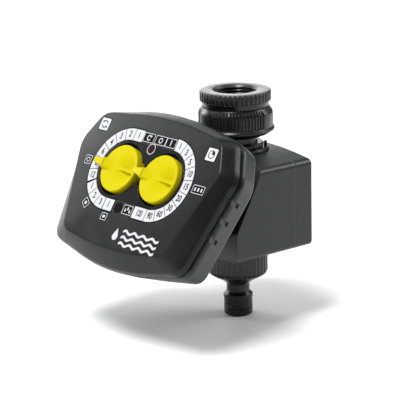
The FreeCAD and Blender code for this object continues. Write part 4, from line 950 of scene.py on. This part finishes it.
def floor():
    """A large pale floor under the spigot."""
    level = cad_box[0].z
    reach = 6.0
    corners = [(-reach, -reach, level), (reach, -reach, level), (reach, reach, level), (-reach, reach, level)]
    mesh = bpy.data.meshes.new("floor")
    mesh.from_pydata(corners, [], [(0, 1, 2, 3)])
    plane = bpy.data.objects.new("floor", mesh)
    bpy.context.scene.collection.objects.link(plane)
    mesh.materials.append(surface("floor_white", (0.86, 0.86, 0.86), 0.6, grain=2.0, depth=0.01, mottle=0.005,
                                  wear=0.0))


def soft_light(name, place, aim, size, power):
    """A square area light, with its width in metres and its power in watts."""
    data = bpy.data.lights.new(name, "AREA")
    data.size = size
    data.energy = power
    lamp = bpy.data.objects.new(name, data)
    bpy.context.scene.collection.objects.link(lamp)
    lamp.location = place
    lamp.rotation_mode = "QUATERNION"
    lamp.rotation_quaternion = (Vector(aim) - Vector(place)).to_track_quat("-Z", "Y")


CAMERA_AZIMUTH = math.radians(49.82)
CAMERA_ELEVATION = math.radians(14.70)
CAMERA_ROLL = math.radians(-1.115)
CAMERA_DISTANCE = 1171.3 * MM
CAMERA_LENS = 186.7
SENSOR_WIDTH = 36.0
LOOK_AT = Vector((14.14, -40.0, -55.19)) * MM


def towards_camera():
    """Direction from the object to the camera."""
    level = math.cos(CAMERA_ELEVATION)
    return Vector((math.sin(CAMERA_AZIMUTH) * level, -math.cos(CAMERA_AZIMUTH) * level,
                   math.sin(CAMERA_ELEVATION)))


def camera():
    """The camera, fitted so that the object stands as it does in the photograph."""
    data = bpy.data.cameras.new("camera")
    data.lens = CAMERA_LENS
    data.sensor_width = SENSOR_WIDTH
    data.clip_start = 0.05
    data.clip_end = 50.0
    eye = bpy.data.objects.new("camera", data)
    bpy.context.scene.collection.objects.link(eye)
    away = towards_camera()
    eye.location = LOOK_AT + away * CAMERA_DISTANCE
    eye.rotation_mode = "QUATERNION"
    eye.rotation_quaternion = (-away).to_track_quat("-Z", "Y") @ Quaternion((0, 0, 1), CAMERA_ROLL)
    bpy.context.scene.camera = eye


WORLD_DARK_SIDE = (0.93, -0.33, 0.16)
WORLD_STRENGTH = 2.5
WORLD_BANDS = ((0.0, 1.2), (0.07, 0.82), (0.10, 0.35), (0.125, 0.20), (0.27, 0.03), (0.40, 0.20),
               (0.54, 0.60), (0.66, 0.30), (0.76, 0.005), (1.0, 0.003))


def world():
    """Surroundings in bands across one direction, from behind the object to the side it is seen from.

    They are brightest behind it, have a softer band across the middle and are dark on the near side. Each
    band gives a share of the way across, from 0 to 1, and its brightness."""
    scene_world = bpy.data.worlds.new("studio")
    bpy.context.scene.world = scene_world
    scene_world.use_nodes = True
    tree = scene_world.node_tree
    direction = tree.nodes.new("ShaderNodeTexCoord").outputs["Generated"]
    towards = node_of(tree, "ShaderNodeVectorMath")
    towards.operation = "DOT_PRODUCT"
    tree.links.new(direction, towards.inputs[0])
    towards.inputs[1].default_value = Vector(WORLD_DARK_SIDE).normalized()
    share = remap(tree, towards.outputs["Value"], 0.0, 1.0, -1.0, 1.0)
    ramp = node_of(tree, "ShaderNodeValToRGB", Fac=share)
    elements = ramp.color_ramp.elements
    for index, (place, level) in enumerate(WORLD_BANDS):
        element = elements[index] if index < 2 else elements.new(place)
        element.position = place
        element.color = (level, level, level, 1.0)
    backdrop = tree.nodes["Background"]
    tree.links.new(ramp.outputs["Color"], backdrop.inputs["Color"])
    backdrop.inputs["Strength"].default_value = WORLD_STRENGTH


# The key light is high in front, and the other two catch the left side and the back edges.
LIGHTS = {
    "key": {"place": (0.5, -1.85, 3.7), "aim": (0, -0.02, -0.06), "size": 1.5, "power": 215.0},
    "left": {"place": (-0.80, -0.22, 0.28), "aim": (0, -0.07, -0.04), "size": 0.3, "power": 2.4},
    "back": {"place": (0.45, 0.70, 0.45), "aim": (0.03, -0.03, -0.04), "size": 0.4, "power": 3.0},
}


def studio():
    """Everything round the object, and the colours as they are."""
    floor()
    world()
    for name, values in LIGHTS.items():
        soft_light(name, **values)
    camera()
    view = bpy.context.scene.view_settings
    view.view_transform = "Standard"
    view.look = "None"


dress_cad_nodes()
thread_reducer()
inlet_union_nut()
outlet_union_nut()
head_front_shell()
knob("interval_dial_knob", "interval_knob", -dial_spread)
knob("duration_dial_knob", "duration_knob", dial_spread)
scales()
tags_and_marks()
studio()
